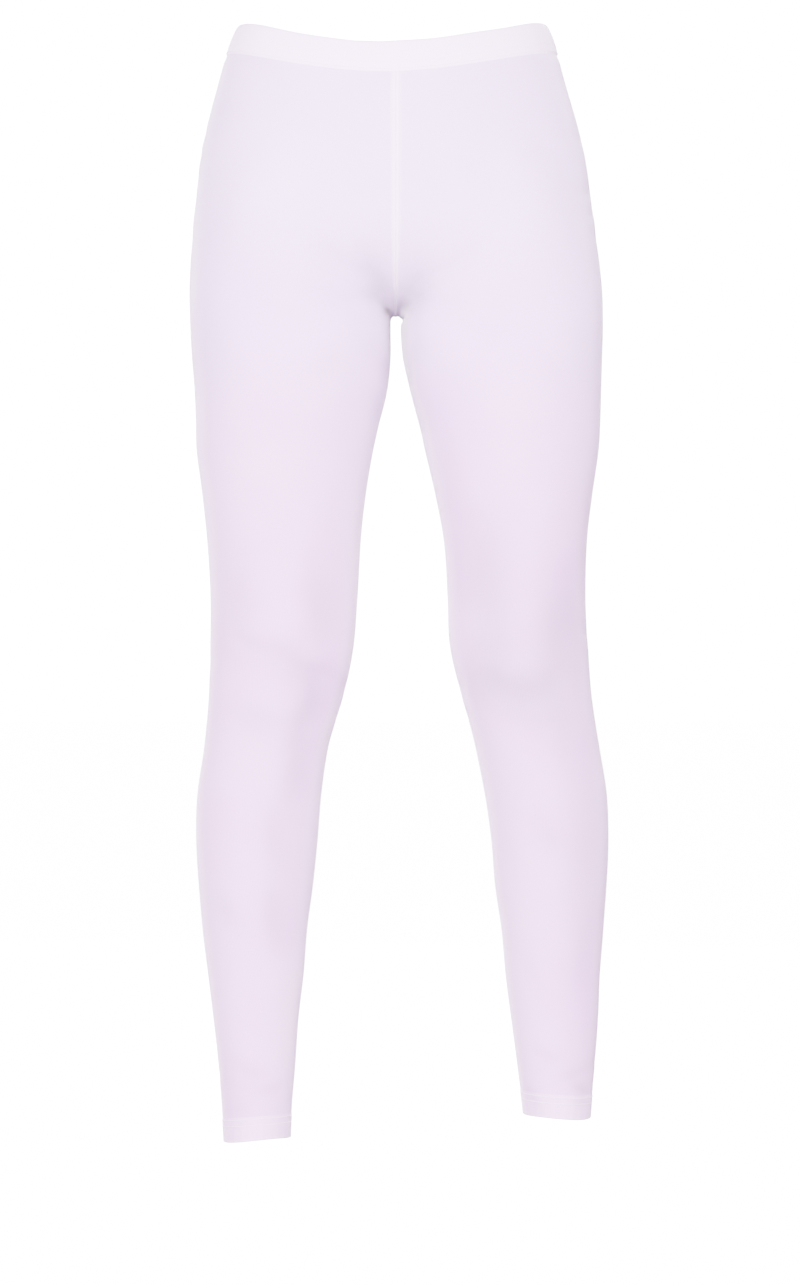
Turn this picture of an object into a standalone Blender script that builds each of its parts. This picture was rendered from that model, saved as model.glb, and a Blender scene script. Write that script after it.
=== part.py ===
"""Churidar pants in stretch jersey, worn: two legs, a waistband over elastic and two turned-up hems.

The origin is the centre of the waist opening, -Y is the front, +X the wearer's left, +Z up.
"""

import math

import bmesh
import bpy
import numpy as np

# ---- sizes a maker would work from, in metres ----
CLOTH = 0.0014
SEAM_GAP = 0.0003
SEAM_RIDGE = 0.0032
SEAM_RAISE = 0.0007
INSEAM_RIDGE = 0.0018
INSEAM_RAISE = 0.0004
BAND_HEIGHT = 0.0245
BAND_THICK = 0.0030
BAND_PROUD = 0.0006
BAND_SQUEEZE = 0.0008
SQUEEZE_FADE = 0.0070
DIP_CENTRE = -0.009
FRONT_DIP = 0.0210
BACK_DIP = 0.0015
BAND_TOP = 0.0050
HEM_HEIGHT = 0.0200
HEM_THICK = 0.0024
HEM_PROUD = 0.0004
CROTCH_FILLET = 0.008
LAP_FILLET = 0.034
THIGH_FILLET = 0.006

JERSEY_COLOUR = (0.86, 0.81, 0.88)
BAND_COLOUR = (0.90, 0.88, 0.92)
HEM_COLOUR = (0.88, 0.85, 0.90)

# ---- mesh counts ----
LEG_COLUMNS = 36
BAND_COLUMNS = 64
HEM_COLUMNS = 36
SCAN_ANGLES = 180

# Seat and belly, millimetres: the half width, the centre line and the front and back lines
# at each height, and how square the section is in front and behind.
SEAT_NAMES = ("height", "half", "centre", "front", "back", "square_front", "square_back")
SEAT = (
    (10, 123.0, -2.7, -88, 84, 2.25, 2.30),
    (-4, 129.6, -2.8, -92, 88, 2.25, 2.30),
    (-17, 133.8, -3.2, -95, 92, 2.25, 2.35),
    (-34, 138.4, -3.4, -99, 98, 2.30, 2.40),
    (-46, 141.6, -3.3, -101, 102, 2.30, 2.40),
    (-70, 148.4, -3.0, -104, 111, 2.30, 2.45),
    (-95, 154.4, -2.7, -105, 118, 2.35, 2.45),
    (-120, 158.2, -2.2, -104, 122, 2.35, 2.45),
    (-150, 160.6, -1.8, -101, 122, 2.40, 2.45),
    (-190, 162.0, -1.0, -98, 118, 2.20, 2.25),
    (-240, 162.0, 0.0, -95, 108, 2.00, 2.00),
)
SEAT_FLOOR_START = -148
SEAT_FLOOR = -227
SEAT_FLOOR_SQUARE = 2.2
LEG_TOP = -118

# Each leg, millimetres: how far out its outer and inner lines stand from the centre-front
# seam, its front and back lines, and where between them it is widest.
LEG_NAMES = ("height", "outer", "inner", "front", "back", "widest", "square_front", "square_back")
LEG_RIGHT = (
    (-60, 128.0, 30.0, -84, 84, 2, 2.2, 2.2),
    (-110, 148.0, 16.0, -94, 100, 4, 2.2, 2.2),
    (-160, 163.2, 8.0, -97, 113, 4, 2.2, 2.2),
    (-204, 167.2, 5.2, -97, 109, 2, 2.3, 2.3),
    (-240, 166.5, 4.6, -96, 98, 0, 2.4, 2.5),
    (-265, 165.0, 4.6, -95, 90, 0, 2.4, 2.5),
    (-289, 163.0, 7.2, -93, 83, -2, 2.3, 2.4),
    (-313, 162.0, 12.8, -91, 78, -4, 2.2, 2.3),
    (-338, 161.5, 18.5, -88, 72, -4, 2.2, 2.2),
    (-374, 156.7, 24.6, -84, 67, -4, 2.2, 2.2),
    (-411, 152.7, 28.8, -79, 62, -4, 2.2, 2.2),
    (-459, 150.2, 31.5, -72, 57, -3, 2.2, 2.2),
    (-496, 150.2, 34.4, -67, 53, -2, 2.3, 2.2),
    (-532, 151.2, 41.5, -62, 52, -1, 2.3, 2.3),
    (-557, 153.1, 49.0, -58, 54, 2, 2.2, 2.3),
    (-581, 155.9, 55.6, -54, 58, 6, 2.1, 2.3),
    (-617, 161.4, 60.8, -49, 64, 12, 2.0, 2.3),
    (-654, 162.3, 63.8, -45, 68, 16, 2.0, 2.2),
    (-690, 160.6, 67.6, -40, 69, 18, 2.0, 2.2),
    (-727, 157.4, 72.4, -35, 66, 19, 2.0, 2.2),
    (-763, 152.9, 75.2, -30, 61, 19, 2.0, 2.2),
    (-799, 148.6, 79.5, -26, 57, 18, 2.0, 2.1),
    (-836, 144.6, 82.3, -23, 53, 17, 2.0, 2.1),
    (-872, 141.6, 85.1, -20, 52, 17, 2.0, 2.1),
    (-905, 139.6, 86.6, -19, 53, 18, 2.0, 2.1),
)
LEG_LEFT = (
    (-60, 124.0, 30.0, -84, 84, 2, 2.2, 2.2),
    (-110, 142.0, 16.0, -94, 100, 4, 2.2, 2.2),
    (-160, 160.0, 8.0, -98, 113, 3, 2.2, 2.2),
    (-204, 166.6, 4.8, -99, 108, 1, 2.3, 2.3),
    (-240, 167.5, 3.8, -99, 96, -2, 2.4, 2.5),
    (-265, 166.8, 5.4, -98, 87, -3, 2.4, 2.5),
    (-289, 166.0, 10.2, -97, 79, -5, 2.3, 2.4),
    (-313, 165.2, 17.5, -96, 73, -8, 2.2, 2.3),
    (-338, 163.8, 23.6, -94, 66, -9, 2.2, 2.2),
    (-374, 158.7, 32.0, -91, 59, -11, 2.2, 2.2),
    (-411, 154.5, 38.7, -87, 52, -12, 2.2, 2.2),
    (-459, 153.2, 42.0, -82, 46, -13, 2.2, 2.2),
    (-496, 155.0, 43.7, -79, 42, -13, 2.3, 2.2),
    (-532, 157.5, 51.6, -75, 41, -11, 2.3, 2.3),
    (-557, 161.0, 59.0, -70, 44, -8, 2.2, 2.3),
    (-581, 165.2, 65.0, -65, 49, -3, 2.1, 2.3),
    (-617, 171.3, 72.2, -57, 57, 5, 2.0, 2.3),
    (-654, 172.8, 77.6, -49, 64, 12, 2.0, 2.2),
    (-690, 171.4, 80.6, -42, 67, 17, 2.0, 2.2),
    (-727, 168.7, 86.0, -35, 66, 19, 2.0, 2.2),
    (-763, 166.0, 89.2, -28, 62, 21, 2.0, 2.2),
    (-799, 164.8, 93.9, -22, 60, 22, 2.0, 2.1),
    (-836, 162.0, 98.9, -17, 58, 22, 2.0, 2.1),
    (-872, 159.0, 103.6, -14, 57, 22, 2.0, 2.1),
    (-905, 156.4, 106.8, -13, 57, 23, 2.0, 2.1),
)

# The largest folds, millimetres: soft troughs between two places seen from the front (-1)
# or the back (1), with their half width and depth.
FOLD_NAMES = ("face", "x_start", "z_start", "x_end", "z_end", "half_width", "depth")
FOLDS = (
    (1, -34, -240, -128, -226, 13, 3.6),
    (1, 30, -238, 124, -219, 12, 3.2),
    (1, -60, -549, -126, -541, 15, 3.0),
    (1, 72, -553, 138, -563, 14, 3.4),
    (1, -66, -583, -112, -590, 11, 1.6),
    (-1, 62, -505, 96, -498, 13, 1.6),
    (-1, -66, -501, -108, -508, 14, 1.2),
)

# Where each hem ends, millimetres: the height at its inner and outer side, and how much
# higher it rides in front than at the sides.
HEM_NAMES = ("inner_end", "outer_end", "front_lift")
HEM_RIGHT = (-895.9, -900.0, 2.0)
HEM_LEFT = (-877.3, -880.6, 0.0)

# Rows round a leg above the fork, as shares of the way up from the fork to the waist seam:
# at the outer side and at the centre seams, and how much of the waist's front dip they keep.
# The seam under the crotch is nearly level, so the lowest rows lie close together there.
ROW_NAMES = ("outer_share", "seam_share", "keep")
SEAT_ROWS = (
    (1.0, 1.0, 1.0),
    (0.978, 0.981, 1.0),
    (0.945, 0.948, 0.95),
    (0.85, 0.86, 0.80),
    (0.74, 0.75, 0.60),
    (0.63, 0.63, 0.40),
    (0.52, 0.50, 0.22),
    (0.42, 0.375, 0.10),
    (0.335, 0.262, 0.03),
    (0.262, 0.175, 0.0),
    (0.202, 0.103, 0.0),
    (0.152, 0.055, 0.0),
    (0.108, 0.026, 0.0),
    (0.068, 0.0100, 0.0),
    (0.032, 0.0022, 0.0),
)
FORK_OUTER = -182
# Rows below the fork, millimetres further down: at the outer side and at the inseam.
FORK_NAMES = ("outer_step", "inseam_step")
FORK_ROWS = (
    (8, 3),
    (18, 7.5),
    (30, 14.5),
    (44, 26),
    (62, 44),
    (86, 72),
    (114, 106),
)
LOW_ROWS = 15


# ---- reading the tables ----
def slopes_of(heights, values):
    slopes = np.zeros(len(values))
    for k in range(len(values)):
        low = max(k - 1, 0)
        high = min(k + 1, len(values) - 1)
        slopes[k] = (values[high] - values[low]) / (heights[high] - heights[low])
    return slopes


def make_lines(names, table):
    """One smooth line for each named column, read by height in metres."""
    rows = np.array(table, dtype=float)
    order = np.argsort(rows[:, 0])
    rows = rows[order]
    heights = rows[:, 0] * 0.001
    lines = {"heights": heights}
    for column in range(1, len(names)):
        scale = 1.0 if names[column].startswith("square") else 0.001
        values = rows[:, column] * scale
        lines[names[column]] = (values, slopes_of(heights, values))
    return lines


def read_line(lines, name, height):
    heights = lines["heights"]
    values, slopes = lines[name]
    z = np.clip(height, heights[0], heights[-1])
    k = np.clip(np.searchsorted(heights, z) - 1, 0, len(heights) - 2)
    span = heights[k + 1] - heights[k]
    t = (z - heights[k]) / span
    return (
        (2 * t**3 - 3 * t**2 + 1) * values[k]
        + (t**3 - 2 * t**2 + t) * span * slopes[k]
        + (3 * t**2 - 2 * t**3) * values[k + 1]
        + (t**3 - t**2) * span * slopes[k + 1]
    )


SEAT_LINES = make_lines(SEAT_NAMES, SEAT)
LEG_LINES = {-1: make_lines(LEG_NAMES, LEG_RIGHT), 1: make_lines(LEG_NAMES, LEG_LEFT)}
HEMS = {-1: HEM_RIGHT, 1: HEM_LEFT}


# ---- the form the cloth lies on: below zero inside, above zero outside ----
def section_gap(dx, dy, dz, half, front, back, floor, square_front, square_back):
    """Distance out from a rounded section along the line from its centre."""
    ahead = dy < 0
    depth = np.where(ahead, front, back)
    square = np.where(ahead, square_front, square_back)
    ratio = np.abs(dx / half) ** square + np.abs(dy / depth) ** square
    ratio = ratio + (dz / floor) ** SEAT_FLOOR_SQUARE
    ratio = np.maximum(ratio, 1e-9) ** (1.0 / square)
    reach = np.sqrt(dx**2 + dy**2 + dz**2)
    return reach * (1.0 - 1.0 / ratio)


def seat_gap(x, y, z):
    half = read_line(SEAT_LINES, "half", z)
    centre = read_line(SEAT_LINES, "centre", z)
    front = -read_line(SEAT_LINES, "front", z)
    back = read_line(SEAT_LINES, "back", z)
    square_front = read_line(SEAT_LINES, "square_front", z)
    square_back = read_line(SEAT_LINES, "square_back", z)
    below = np.maximum(SEAT_FLOOR_START * 0.001 - z, 0.0)
    floor = (SEAT_FLOOR_START - SEAT_FLOOR) * 0.001
    return section_gap(x - centre, y, below, half, front, back, floor, square_front, square_back)


def leg_gap(side, x, y, z):
    lines = LEG_LINES[side]
    outer = read_line(lines, "outer", z)
    inner = read_line(lines, "inner", z)
    widest = read_line(lines, "widest", z)
    front = widest - read_line(lines, "front", z)
    back = read_line(lines, "back", z) - widest
    square_front = read_line(lines, "square_front", z)
    square_back = read_line(lines, "square_back", z)
    dx = side * x - (outer + inner) / 2
    half = (outer - inner) / 2
    flat = np.zeros_like(dx)
    gap = section_gap(dx, y - widest, flat, half, front, back, 1.0, square_front, square_back)
    return gap + 12 * np.maximum(z - LEG_TOP * 0.001, 0.0) ** 2


def blend_least(a, b, width):
    near = np.maximum(width - np.abs(a - b), 0.0) / width
    return np.minimum(a, b) - near**2 * width / 4


def band_end(x, y):
    """Height of the waistband's lower edge at a place round the waist."""
    reach = np.hypot(x - DIP_CENTRE, y * 1.35) + 1e-9
    turn = (y * 1.35 / reach) ** 2
    dip = np.where(y < 0, FRONT_DIP * turn, BACK_DIP * turn)
    return BAND_TOP - BAND_HEIGHT - dip


def squeeze(x, y, z):
    """How far the elastic pulls the form in, dying out just below the band."""
    t = np.clip((z - band_end(x, y) + SQUEEZE_FADE) / SQUEEZE_FADE, 0.0, 1.0)
    return BAND_SQUEEZE * t**2 * (3 - 2 * t)


def fold_depth(x, y, z):
    """How far the largest folds take the cloth in."""
    depth = np.zeros_like(x)
    for face, x_start, z_start, x_end, z_end, half_width, deep in FOLDS:
        run_x = (x_end - x_start) * 0.001
        run_z = (z_end - z_start) * 0.001
        from_x = x - x_start * 0.001
        from_z = z - z_start * 0.001
        along = np.clip((from_x * run_x + from_z * run_z) / (run_x**2 + run_z**2), 0.0, 1.0)
        apart = np.hypot(from_x - along * run_x, from_z - along * run_z)
        turned = np.clip(face * y / 0.030, 0.0, 1.0)
        ends = np.sin(math.pi * (0.15 + 0.7 * along))
        depth = depth + deep * 0.001 * turned * ends * np.exp(-((apart / (half_width * 0.001)) ** 2))
    return depth


def form(x, y, z):
    legs = blend_least(leg_gap(-1, x, y, z), leg_gap(1, x, y, z), THIGH_FILLET)
    away = np.clip((np.abs(y) - 0.030) / 0.060, 0.0, 1.0)
    lap = np.exp(-((x / 0.065) ** 2)) * away**2 * (3 - 2 * away)
    fillet = CROTCH_FILLET + (LAP_FILLET - CROTCH_FILLET) * lap
    whole = blend_least(seat_gap(x, y, z), legs, fillet)
    return whole + squeeze(x, y, z) + fold_depth(x, y, z)


def outward(points):
    """Unit directions straight out of the form at an array of points."""
    step = 0.0004
    slopes = []
    for axis in range(3):
        move = np.zeros(3)
        move[axis] = step
        ahead = points + move
        behind = points - move
        rise = form(ahead[..., 0], ahead[..., 1], ahead[..., 2])
        fall = form(behind[..., 0], behind[..., 1], behind[..., 2])
        slopes.append(rise - fall)
    found = np.stack(slopes, axis=-1)
    return found / np.linalg.norm(found, axis=-1, keepdims=True)


def cast(start, heading, nearest=0.004, farthest=0.230):
    """First places where lines from inside leave the form, or reach farthest without leaving."""
    limit = np.zeros(start.shape[:-1]) + farthest
    parts = np.linspace(0.0, 1.0, 61)
    reaches = nearest + (limit[..., None] - nearest) * parts
    places = start[..., None, :] + heading[..., None, :] * reaches[..., None]
    gaps = form(places[..., 0], places[..., 1], places[..., 2])
    leaves = (gaps > 0).any(axis=-1)
    first = np.maximum(np.argmax(gaps > 0, axis=-1), 1)[..., None]
    low = np.take_along_axis(reaches, first - 1, axis=-1)[..., 0]
    high = np.take_along_axis(reaches, first, axis=-1)[..., 0]
    low_gap = np.take_along_axis(gaps, first - 1, axis=-1)[..., 0]
    high_gap = np.take_along_axis(gaps, first, axis=-1)[..., 0]
    middle = high
    for _ in range(9):
        middle = (low * high_gap - high * low_gap) / (high_gap - low_gap)
        place = start + heading * middle[..., None]
        gap = form(place[..., 0], place[..., 1], place[..., 2])
        out = gap > 0
        low_gap = np.where(out, low_gap * 0.5, gap)
        low = np.where(out, low, middle)
        high_gap = np.where(out, gap, high_gap * 0.5)
        high = np.where(out, middle, high)
    reach = np.where(leaves, middle, limit)
    return start + heading * reach[..., None]


# ---- rows of points round a leg ----
def leg_axis(side, z):
    lines = LEG_LINES[side]
    outer = read_line(lines, "outer", z)
    inner = read_line(lines, "inner", z)
    x = side * np.maximum((outer + inner) / 2, 0.070)
    y = (read_line(lines, "front", z) + read_line(lines, "back", z)) / 2
    return x, y


def hem_end(side, x, y):
    """Height of the hem's lower edge at a place round the ankle."""
    inner_end, outer_end, front_lift = HEMS[side]
    centre_x, centre_y = leg_axis(side, -0.89)
    out = side * (x - centre_x) / 0.027
    ahead = np.clip((centre_y - y) / 0.036, -1.0, 1.0)
    height = (inner_end + outer_end) / 2 + (outer_end - inner_end) / 2 * out + front_lift * ahead
    return height * 0.001


def start_height(side, row, x, y):
    """Height on the leg's axis from which a row heads for the place (x, y)."""
    if row["share"] > 0:
        hem_top = hem_end(side, x, y) + HEM_HEIGHT + SEAM_GAP
        return row["height"] * (1 - row["share"]) + hem_top * row["share"]
    dip = band_end(x, y) - BAND_TOP + BAND_HEIGHT
    return row["height"] + dip * row["keep"]


def make_row(side, outer, seam, keep=0.0, share=0.0):
    """A row that lies level outside the leg's axis and slopes down to the seam inside it."""
    centre_x, centre_y = leg_axis(side, outer)
    slope = (outer - seam) / abs(float(centre_x))
    return {"height": outer, "slope": slope, "keep": keep, "share": share}


def lean_in(angles):
    return (np.cos(angles) + np.sqrt(np.cos(angles) ** 2 + 0.03)) / 2


def cast_row(side, row, angles):
    """Points of a row for angles round the leg: 0 faces the other leg, 90 degrees the back."""
    fall = -row["slope"] * lean_in(angles)
    heading = np.stack([-side * np.cos(angles), np.sin(angles), fall], axis=-1)
    heading = heading / np.linalg.norm(heading, axis=-1, keepdims=True)
    centre_x, centre_y = leg_axis(side, np.full(angles.shape, row["height"]))
    place = np.stack([centre_x, centre_y, 0.0 * centre_x], axis=-1) + heading * 0.08
    inward = np.maximum(-side * heading[..., 0], 1e-6)
    farthest = np.minimum((np.abs(centre_x) - SEAM_GAP / 2) / inward, 0.230)
    turns = 4 if row["keep"] > 0 or row["share"] > 0 else 1
    for _ in range(turns):
        z = start_height(side, row, place[..., 0], place[..., 1])
        start = np.stack([centre_x, centre_y, z], axis=-1)
        place = cast(start, heading, 0.004, farthest)
    return place


def seam_gaps(side, row, y):
    """Distance out of the form where a row passes through the seam plane, and its angle."""
    x = side * SEAM_GAP / 2
    centre_x, centre_y = leg_axis(side, row["height"])
    inward = abs(float(centre_x)) - SEAM_GAP / 2
    angles = np.arctan2(y - centre_y, inward)
    level = np.hypot(y - centre_y, inward)
    z = start_height(side, row, x + 0.0 * y, y) - row["slope"] * lean_in(angles) * level
    return form(x + 0.0 * y, y, z), angles


def seam_angles(side, row):
    """The angles at which a row meets the centre-front and the centre-back seam."""
    y = np.linspace(-0.140, 0.150, 291)
    gaps, angles = seam_gaps(side, row, y)
    inside = np.nonzero(gaps < 0)[0]
    ends = []
    for near, far in ((inside[0], inside[0] - 1), (inside[-1], inside[-1] + 1)):
        low = y[near]
        high = y[far]
        for _ in range(22):
            middle = np.array([(low + high) / 2])
            gap, angle = seam_gaps(side, row, middle)
            if gap[0] < 0:
                low = middle[0]
            else:
                high = middle[0]
        ends.append(float(angle[0]))
    return ends


def find_fork(side):
    """The lowest row that still reaches the seam plane, and the angle at which it does."""
    y = np.linspace(-0.070, 0.070, 281)
    outer = FORK_OUTER * 0.001
    low = -0.245
    high = -0.220
    for _ in range(20):
        middle = (low + high) / 2
        gaps, angles = seam_gaps(side, make_row(side, outer, middle), y)
        if gaps.min() < 0:
            high = middle
        else:
            low = middle
    return low, float(angles[int(np.argmin(gaps))])


def spread(side, row, first, last, strip):
    """Columns along a row: two near each seam for its ridge, the rest evenly."""
    scan = np.linspace(first, last, SCAN_ANGLES)
    places = cast_row(side, row, scan)
    steps = np.linalg.norm(np.diff(places, axis=0), axis=1)
    along = np.concatenate([[0.0], np.cumsum(steps)])
    total = along[-1]
    foot = strip * 1.5
    evenly = np.linspace(foot, total - foot, LEG_COLUMNS - 3)
    wanted = np.concatenate([[0.0, strip], evenly, [total - strip, total]])
    return cast_row(side, row, np.interp(wanted, along, scan))


def leg_rows(side):
    """Outer points of a leg, row by row, with the ridge's width and height in each row."""
    fork_seam, fork_angle = find_fork(side)
    fork_outer = FORK_OUTER * 0.001
    waist_seam = BAND_TOP - BAND_HEIGHT - SEAM_GAP
    rows = []
    for outer_share, seam_share, keep in SEAT_ROWS:
        outer = fork_outer + (waist_seam - fork_outer) * outer_share
        seam = fork_seam + (waist_seam - fork_seam) * seam_share
        row = make_row(side, outer, seam, keep)
        front, back = seam_angles(side, row)
        strip = INSEAM_RIDGE + (SEAM_RIDGE - INSEAM_RIDGE) * seam_share
        rows.append((spread(side, row, front, back - 2 * math.pi, strip), SEAM_RAISE))
    row = make_row(side, fork_outer, fork_seam)
    points = spread(side, row, fork_angle, fork_angle - 2 * math.pi, INSEAM_RIDGE)
    rows.append((points, SEAM_RAISE))
    open_rows = len(rows)
    for step, (outer_step, inseam_step) in enumerate(FORK_ROWS):
        outer = fork_outer - outer_step * 0.001
        inseam = fork_seam - inseam_step * 0.001
        angle = fork_angle * (1 - (step + 1) / len(FORK_ROWS))
        row = make_row(side, outer, inseam)
        points = spread(side, row, angle, angle - 2 * math.pi, INSEAM_RIDGE)
        rows.append((points, SEAM_RAISE + (INSEAM_RAISE - SEAM_RAISE) * (step + 1) / len(FORK_ROWS)))
    hem = HEMS[side]
    low_end = (hem[0] + hem[1]) * 0.0005 + HEM_HEIGHT
    for step in range(1, LOW_ROWS + 1):
        down = step / LOW_ROWS
        share = max(0.0, 1 - (LOW_ROWS - step) / 3) ** 2
        row_outer = outer + (low_end - outer) * down
        row_inseam = inseam + (low_end - inseam) * down
        row = make_row(side, row_outer, row_inseam, 0.0, share)
        points = spread(side, row, 0.0, -2 * math.pi, INSEAM_RIDGE)
        rows.append((points, INSEAM_RAISE))
    return rows, open_rows


def leg_walls(side):
    """The outer and the inner faces of a leg's cloth as grids of points."""
    rows, open_rows = leg_rows(side)
    grid = np.array([points for points, raised in rows])
    lift = np.zeros(grid.shape[:2])
    for number, (points, raised) in enumerate(rows):
        lift[number, :2] = raised
        lift[number, -2:] = raised
    across = outward(grid)
    across[0, :, 2] = 0.0
    across[-1, :, 2] = 0.0
    across[:open_rows, 0, 0] = 0.0
    across[:open_rows, -1, 0] = 0.0
    across = across / np.linalg.norm(across, axis=-1, keepdims=True)
    outer = grid + across * lift[..., None]
    inner = grid - across * CLOTH
    return outer, inner, open_rows


# ---- building the bodies ----
def add_body(name, verts, faces, colour, roughness):
    mesh = bpy.data.meshes.new(name)
    body = bmesh.new()
    made = [body.verts.new(v) for v in verts]
    for face in faces:
        corners = []
        for index in face:
            if made[index] not in corners:
                corners.append(made[index])
        if len(corners) > 2:
            body.faces.new(corners)
    bmesh.ops.recalc_face_normals(body, faces=body.faces)
    body.to_mesh(mesh)
    body.free()
    mesh.shade_smooth()
    mesh.set_sharp_from_angle(angle=math.radians(50))
    thing = bpy.data.objects.new(name, mesh)
    bpy.context.collection.objects.link(thing)
    material = bpy.data.materials.new(name + "_jersey")
    material.use_nodes = True
    shader = material.node_tree.nodes["Principled BSDF"]
    shader.inputs["Base Color"].default_value = (*colour, 1.0)
    shader.inputs["Roughness"].default_value = roughness
    shader.inputs["Metallic"].default_value = 0.0
    mesh.materials.append(material)
    return thing


def add_leg(name, side):
    outer, inner, open_rows = leg_walls(side)
    row_count, column_count = outer.shape[:2]
    last = column_count - 1
    verts = []
    outer_index = {}
    inner_index = {}
    for grid, index in ((outer, outer_index), (inner, inner_index)):
        for row in range(row_count):
            for column in range(column_count):
                if column == last and row >= open_rows - 1:
                    index[row, column] = index[row, 0]
                    continue
                index[row, column] = len(verts)
                verts.append(tuple(grid[row, column]))
    faces = []
    for row in range(row_count - 1):
        for column in range(last):
            for index in (outer_index, inner_index):
                faces.append(
                    (
                        index[row, column],
                        index[row, column + 1],
                        index[row + 1, column + 1],
                        index[row + 1, column],
                    )
                )
    for row in (0, row_count - 1):
        for column in range(last):
            faces.append(
                (
                    outer_index[row, column],
                    outer_index[row, column + 1],
                    inner_index[row, column + 1],
                    inner_index[row, column],
                )
            )
    for column in (0, last):
        for row in range(open_rows - 1):
            faces.append(
                (
                    outer_index[row, column],
                    outer_index[row + 1, column],
                    inner_index[row + 1, column],
                    inner_index[row, column],
                )
            )
    return add_body(name, verts, faces, JERSEY_COLOUR, 0.85)


def add_ring(name, rings, colour):
    """A closed band from rings of points, each a station round its section."""
    count = len(rings[0])
    verts = [tuple(point) for ring in rings for point in ring]
    faces = []
    for station in range(len(rings)):
        following = (station + 1) % len(rings)
        for column in range(count):
            beside = (column + 1) % count
            faces.append(
                (
                    station * count + column,
                    station * count + beside,
                    following * count + beside,
                    following * count + column,
                )
            )
    return add_body(name, verts, faces, colour, 0.85)


def ring_points(centre, angles, heights_at, proud):
    """Points round a level ring on the form, moved out by proud."""
    heading = np.stack([np.cos(angles), np.sin(angles), 0 * angles], axis=-1)
    place = np.array(centre) + heading * 0.08
    for _ in range(6):
        z = heights_at(place[..., 0], place[..., 1])
        start = np.stack([centre[0] + 0 * z, centre[1] + 0 * z, z], axis=-1)
        place = cast(start, heading)
    across = outward(place)
    across[..., 2] = 0.0
    across = across / np.linalg.norm(across, axis=-1, keepdims=True)
    return place + across * proud


def add_waistband():
    """Folded casing: square at the seam below, rounded at the fold on top."""
    angles = np.linspace(0, 2 * math.pi, BAND_COLUMNS, endpoint=False)
    outside = BAND_PROUD
    inside = BAND_PROUD - BAND_THICK
    middle = (outside + inside) / 2
    half = BAND_THICK / 2
    section = [(0.0, outside)]
    section.extend((BAND_HEIGHT * part, outside) for part in (0.3, 0.6, 0.85))
    for turn in (0, 45, 90, 135, 180):
        rise = math.sin(math.radians(turn)) * half
        section.append((BAND_HEIGHT - half + rise, middle + math.cos(math.radians(turn)) * half))
    section.extend((BAND_HEIGHT * part, inside) for part in (0.85, 0.6, 0.3))
    section.append((0.0, inside))
    rings = []
    for height, proud in section:
        rings.append(ring_points((-0.003, 0.0, 0.0), angles, lambda x, y: band_end(x, y) + height, proud))
    return add_ring("waistband", rings, BAND_COLOUR)


def add_hem(name, side):
    """Turned-up hem: two layers, rounded at the fold below."""
    angles = np.linspace(0, 2 * math.pi, HEM_COLUMNS, endpoint=False)
    outside = HEM_PROUD
    inside = HEM_PROUD - HEM_THICK
    middle = (outside + inside) / 2
    half = HEM_THICK / 2
    section = [(HEM_HEIGHT, outside), (HEM_HEIGHT * 0.5, outside)]
    for turn in (0, 60, 120, 180):
        fall = math.sin(math.radians(turn)) * half
        section.append((half - fall, middle + math.cos(math.radians(turn)) * half))
    section.extend([(HEM_HEIGHT * 0.5, inside), (HEM_HEIGHT, inside)])
    centre_x, centre_y = leg_axis(side, -0.88)
    centre = (float(centre_x), float(centre_y), 0.0)
    rings = []
    for height, proud in section:
        rings.append(ring_points(centre, angles, lambda x, y: hem_end(side, x, y) + height, proud))
    return add_ring(name, rings, HEM_COLOUR)


def main():
    for thing in list(bpy.data.objects):
        bpy.data.objects.remove(thing, do_unlink=True)
    add_leg("leg_right", -1)
    add_leg("leg_left", 1)
    add_waistband()
    add_hem("hem_right", -1)
    add_hem("hem_left", 1)


main()
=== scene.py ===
"""Churidar pants in cotton and elastane jersey, filled out as worn: finish, seams and stitching.

The origin is the centre of the waist opening, -Y is the front, +X the wearer's left, +Z up.
"""

import math

import bmesh
import bpy
import numpy as np
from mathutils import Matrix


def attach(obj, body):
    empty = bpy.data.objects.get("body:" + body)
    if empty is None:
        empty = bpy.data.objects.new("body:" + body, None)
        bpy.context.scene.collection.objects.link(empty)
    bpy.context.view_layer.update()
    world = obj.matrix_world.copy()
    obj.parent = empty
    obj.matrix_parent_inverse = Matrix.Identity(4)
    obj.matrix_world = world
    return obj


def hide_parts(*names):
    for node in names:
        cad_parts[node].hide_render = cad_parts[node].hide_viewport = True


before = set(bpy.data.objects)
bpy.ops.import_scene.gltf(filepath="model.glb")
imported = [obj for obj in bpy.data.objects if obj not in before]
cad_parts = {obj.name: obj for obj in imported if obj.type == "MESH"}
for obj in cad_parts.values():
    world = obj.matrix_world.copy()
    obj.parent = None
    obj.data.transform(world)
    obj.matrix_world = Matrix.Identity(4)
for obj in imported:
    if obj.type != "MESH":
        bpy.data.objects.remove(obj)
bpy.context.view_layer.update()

# ---- sizes of the garment, in metres; tables are in millimetres ----
MM = 0.001
JERSEY_THICK = 0.0009
SEAM_GAP = 0.00003
BAND_HEIGHT = 0.0245
BAND_THICK = 0.0030
BAND_PROUD = 0.0006
BAND_TOP = 0.0050
BAND_CENTRE_X = -0.003
HEM_HEIGHT = 0.0200
HEM_THICK = 0.0024
HEM_PROUD = 0.0004

# The ankle, about which each hem is set out.
ANKLE_HEIGHT = -0.89
ANKLE_HALF_WIDTH = 0.027
ANKLE_HALF_DEPTH = 0.036
HEM_CENTRE_HEIGHT = -0.88

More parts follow.
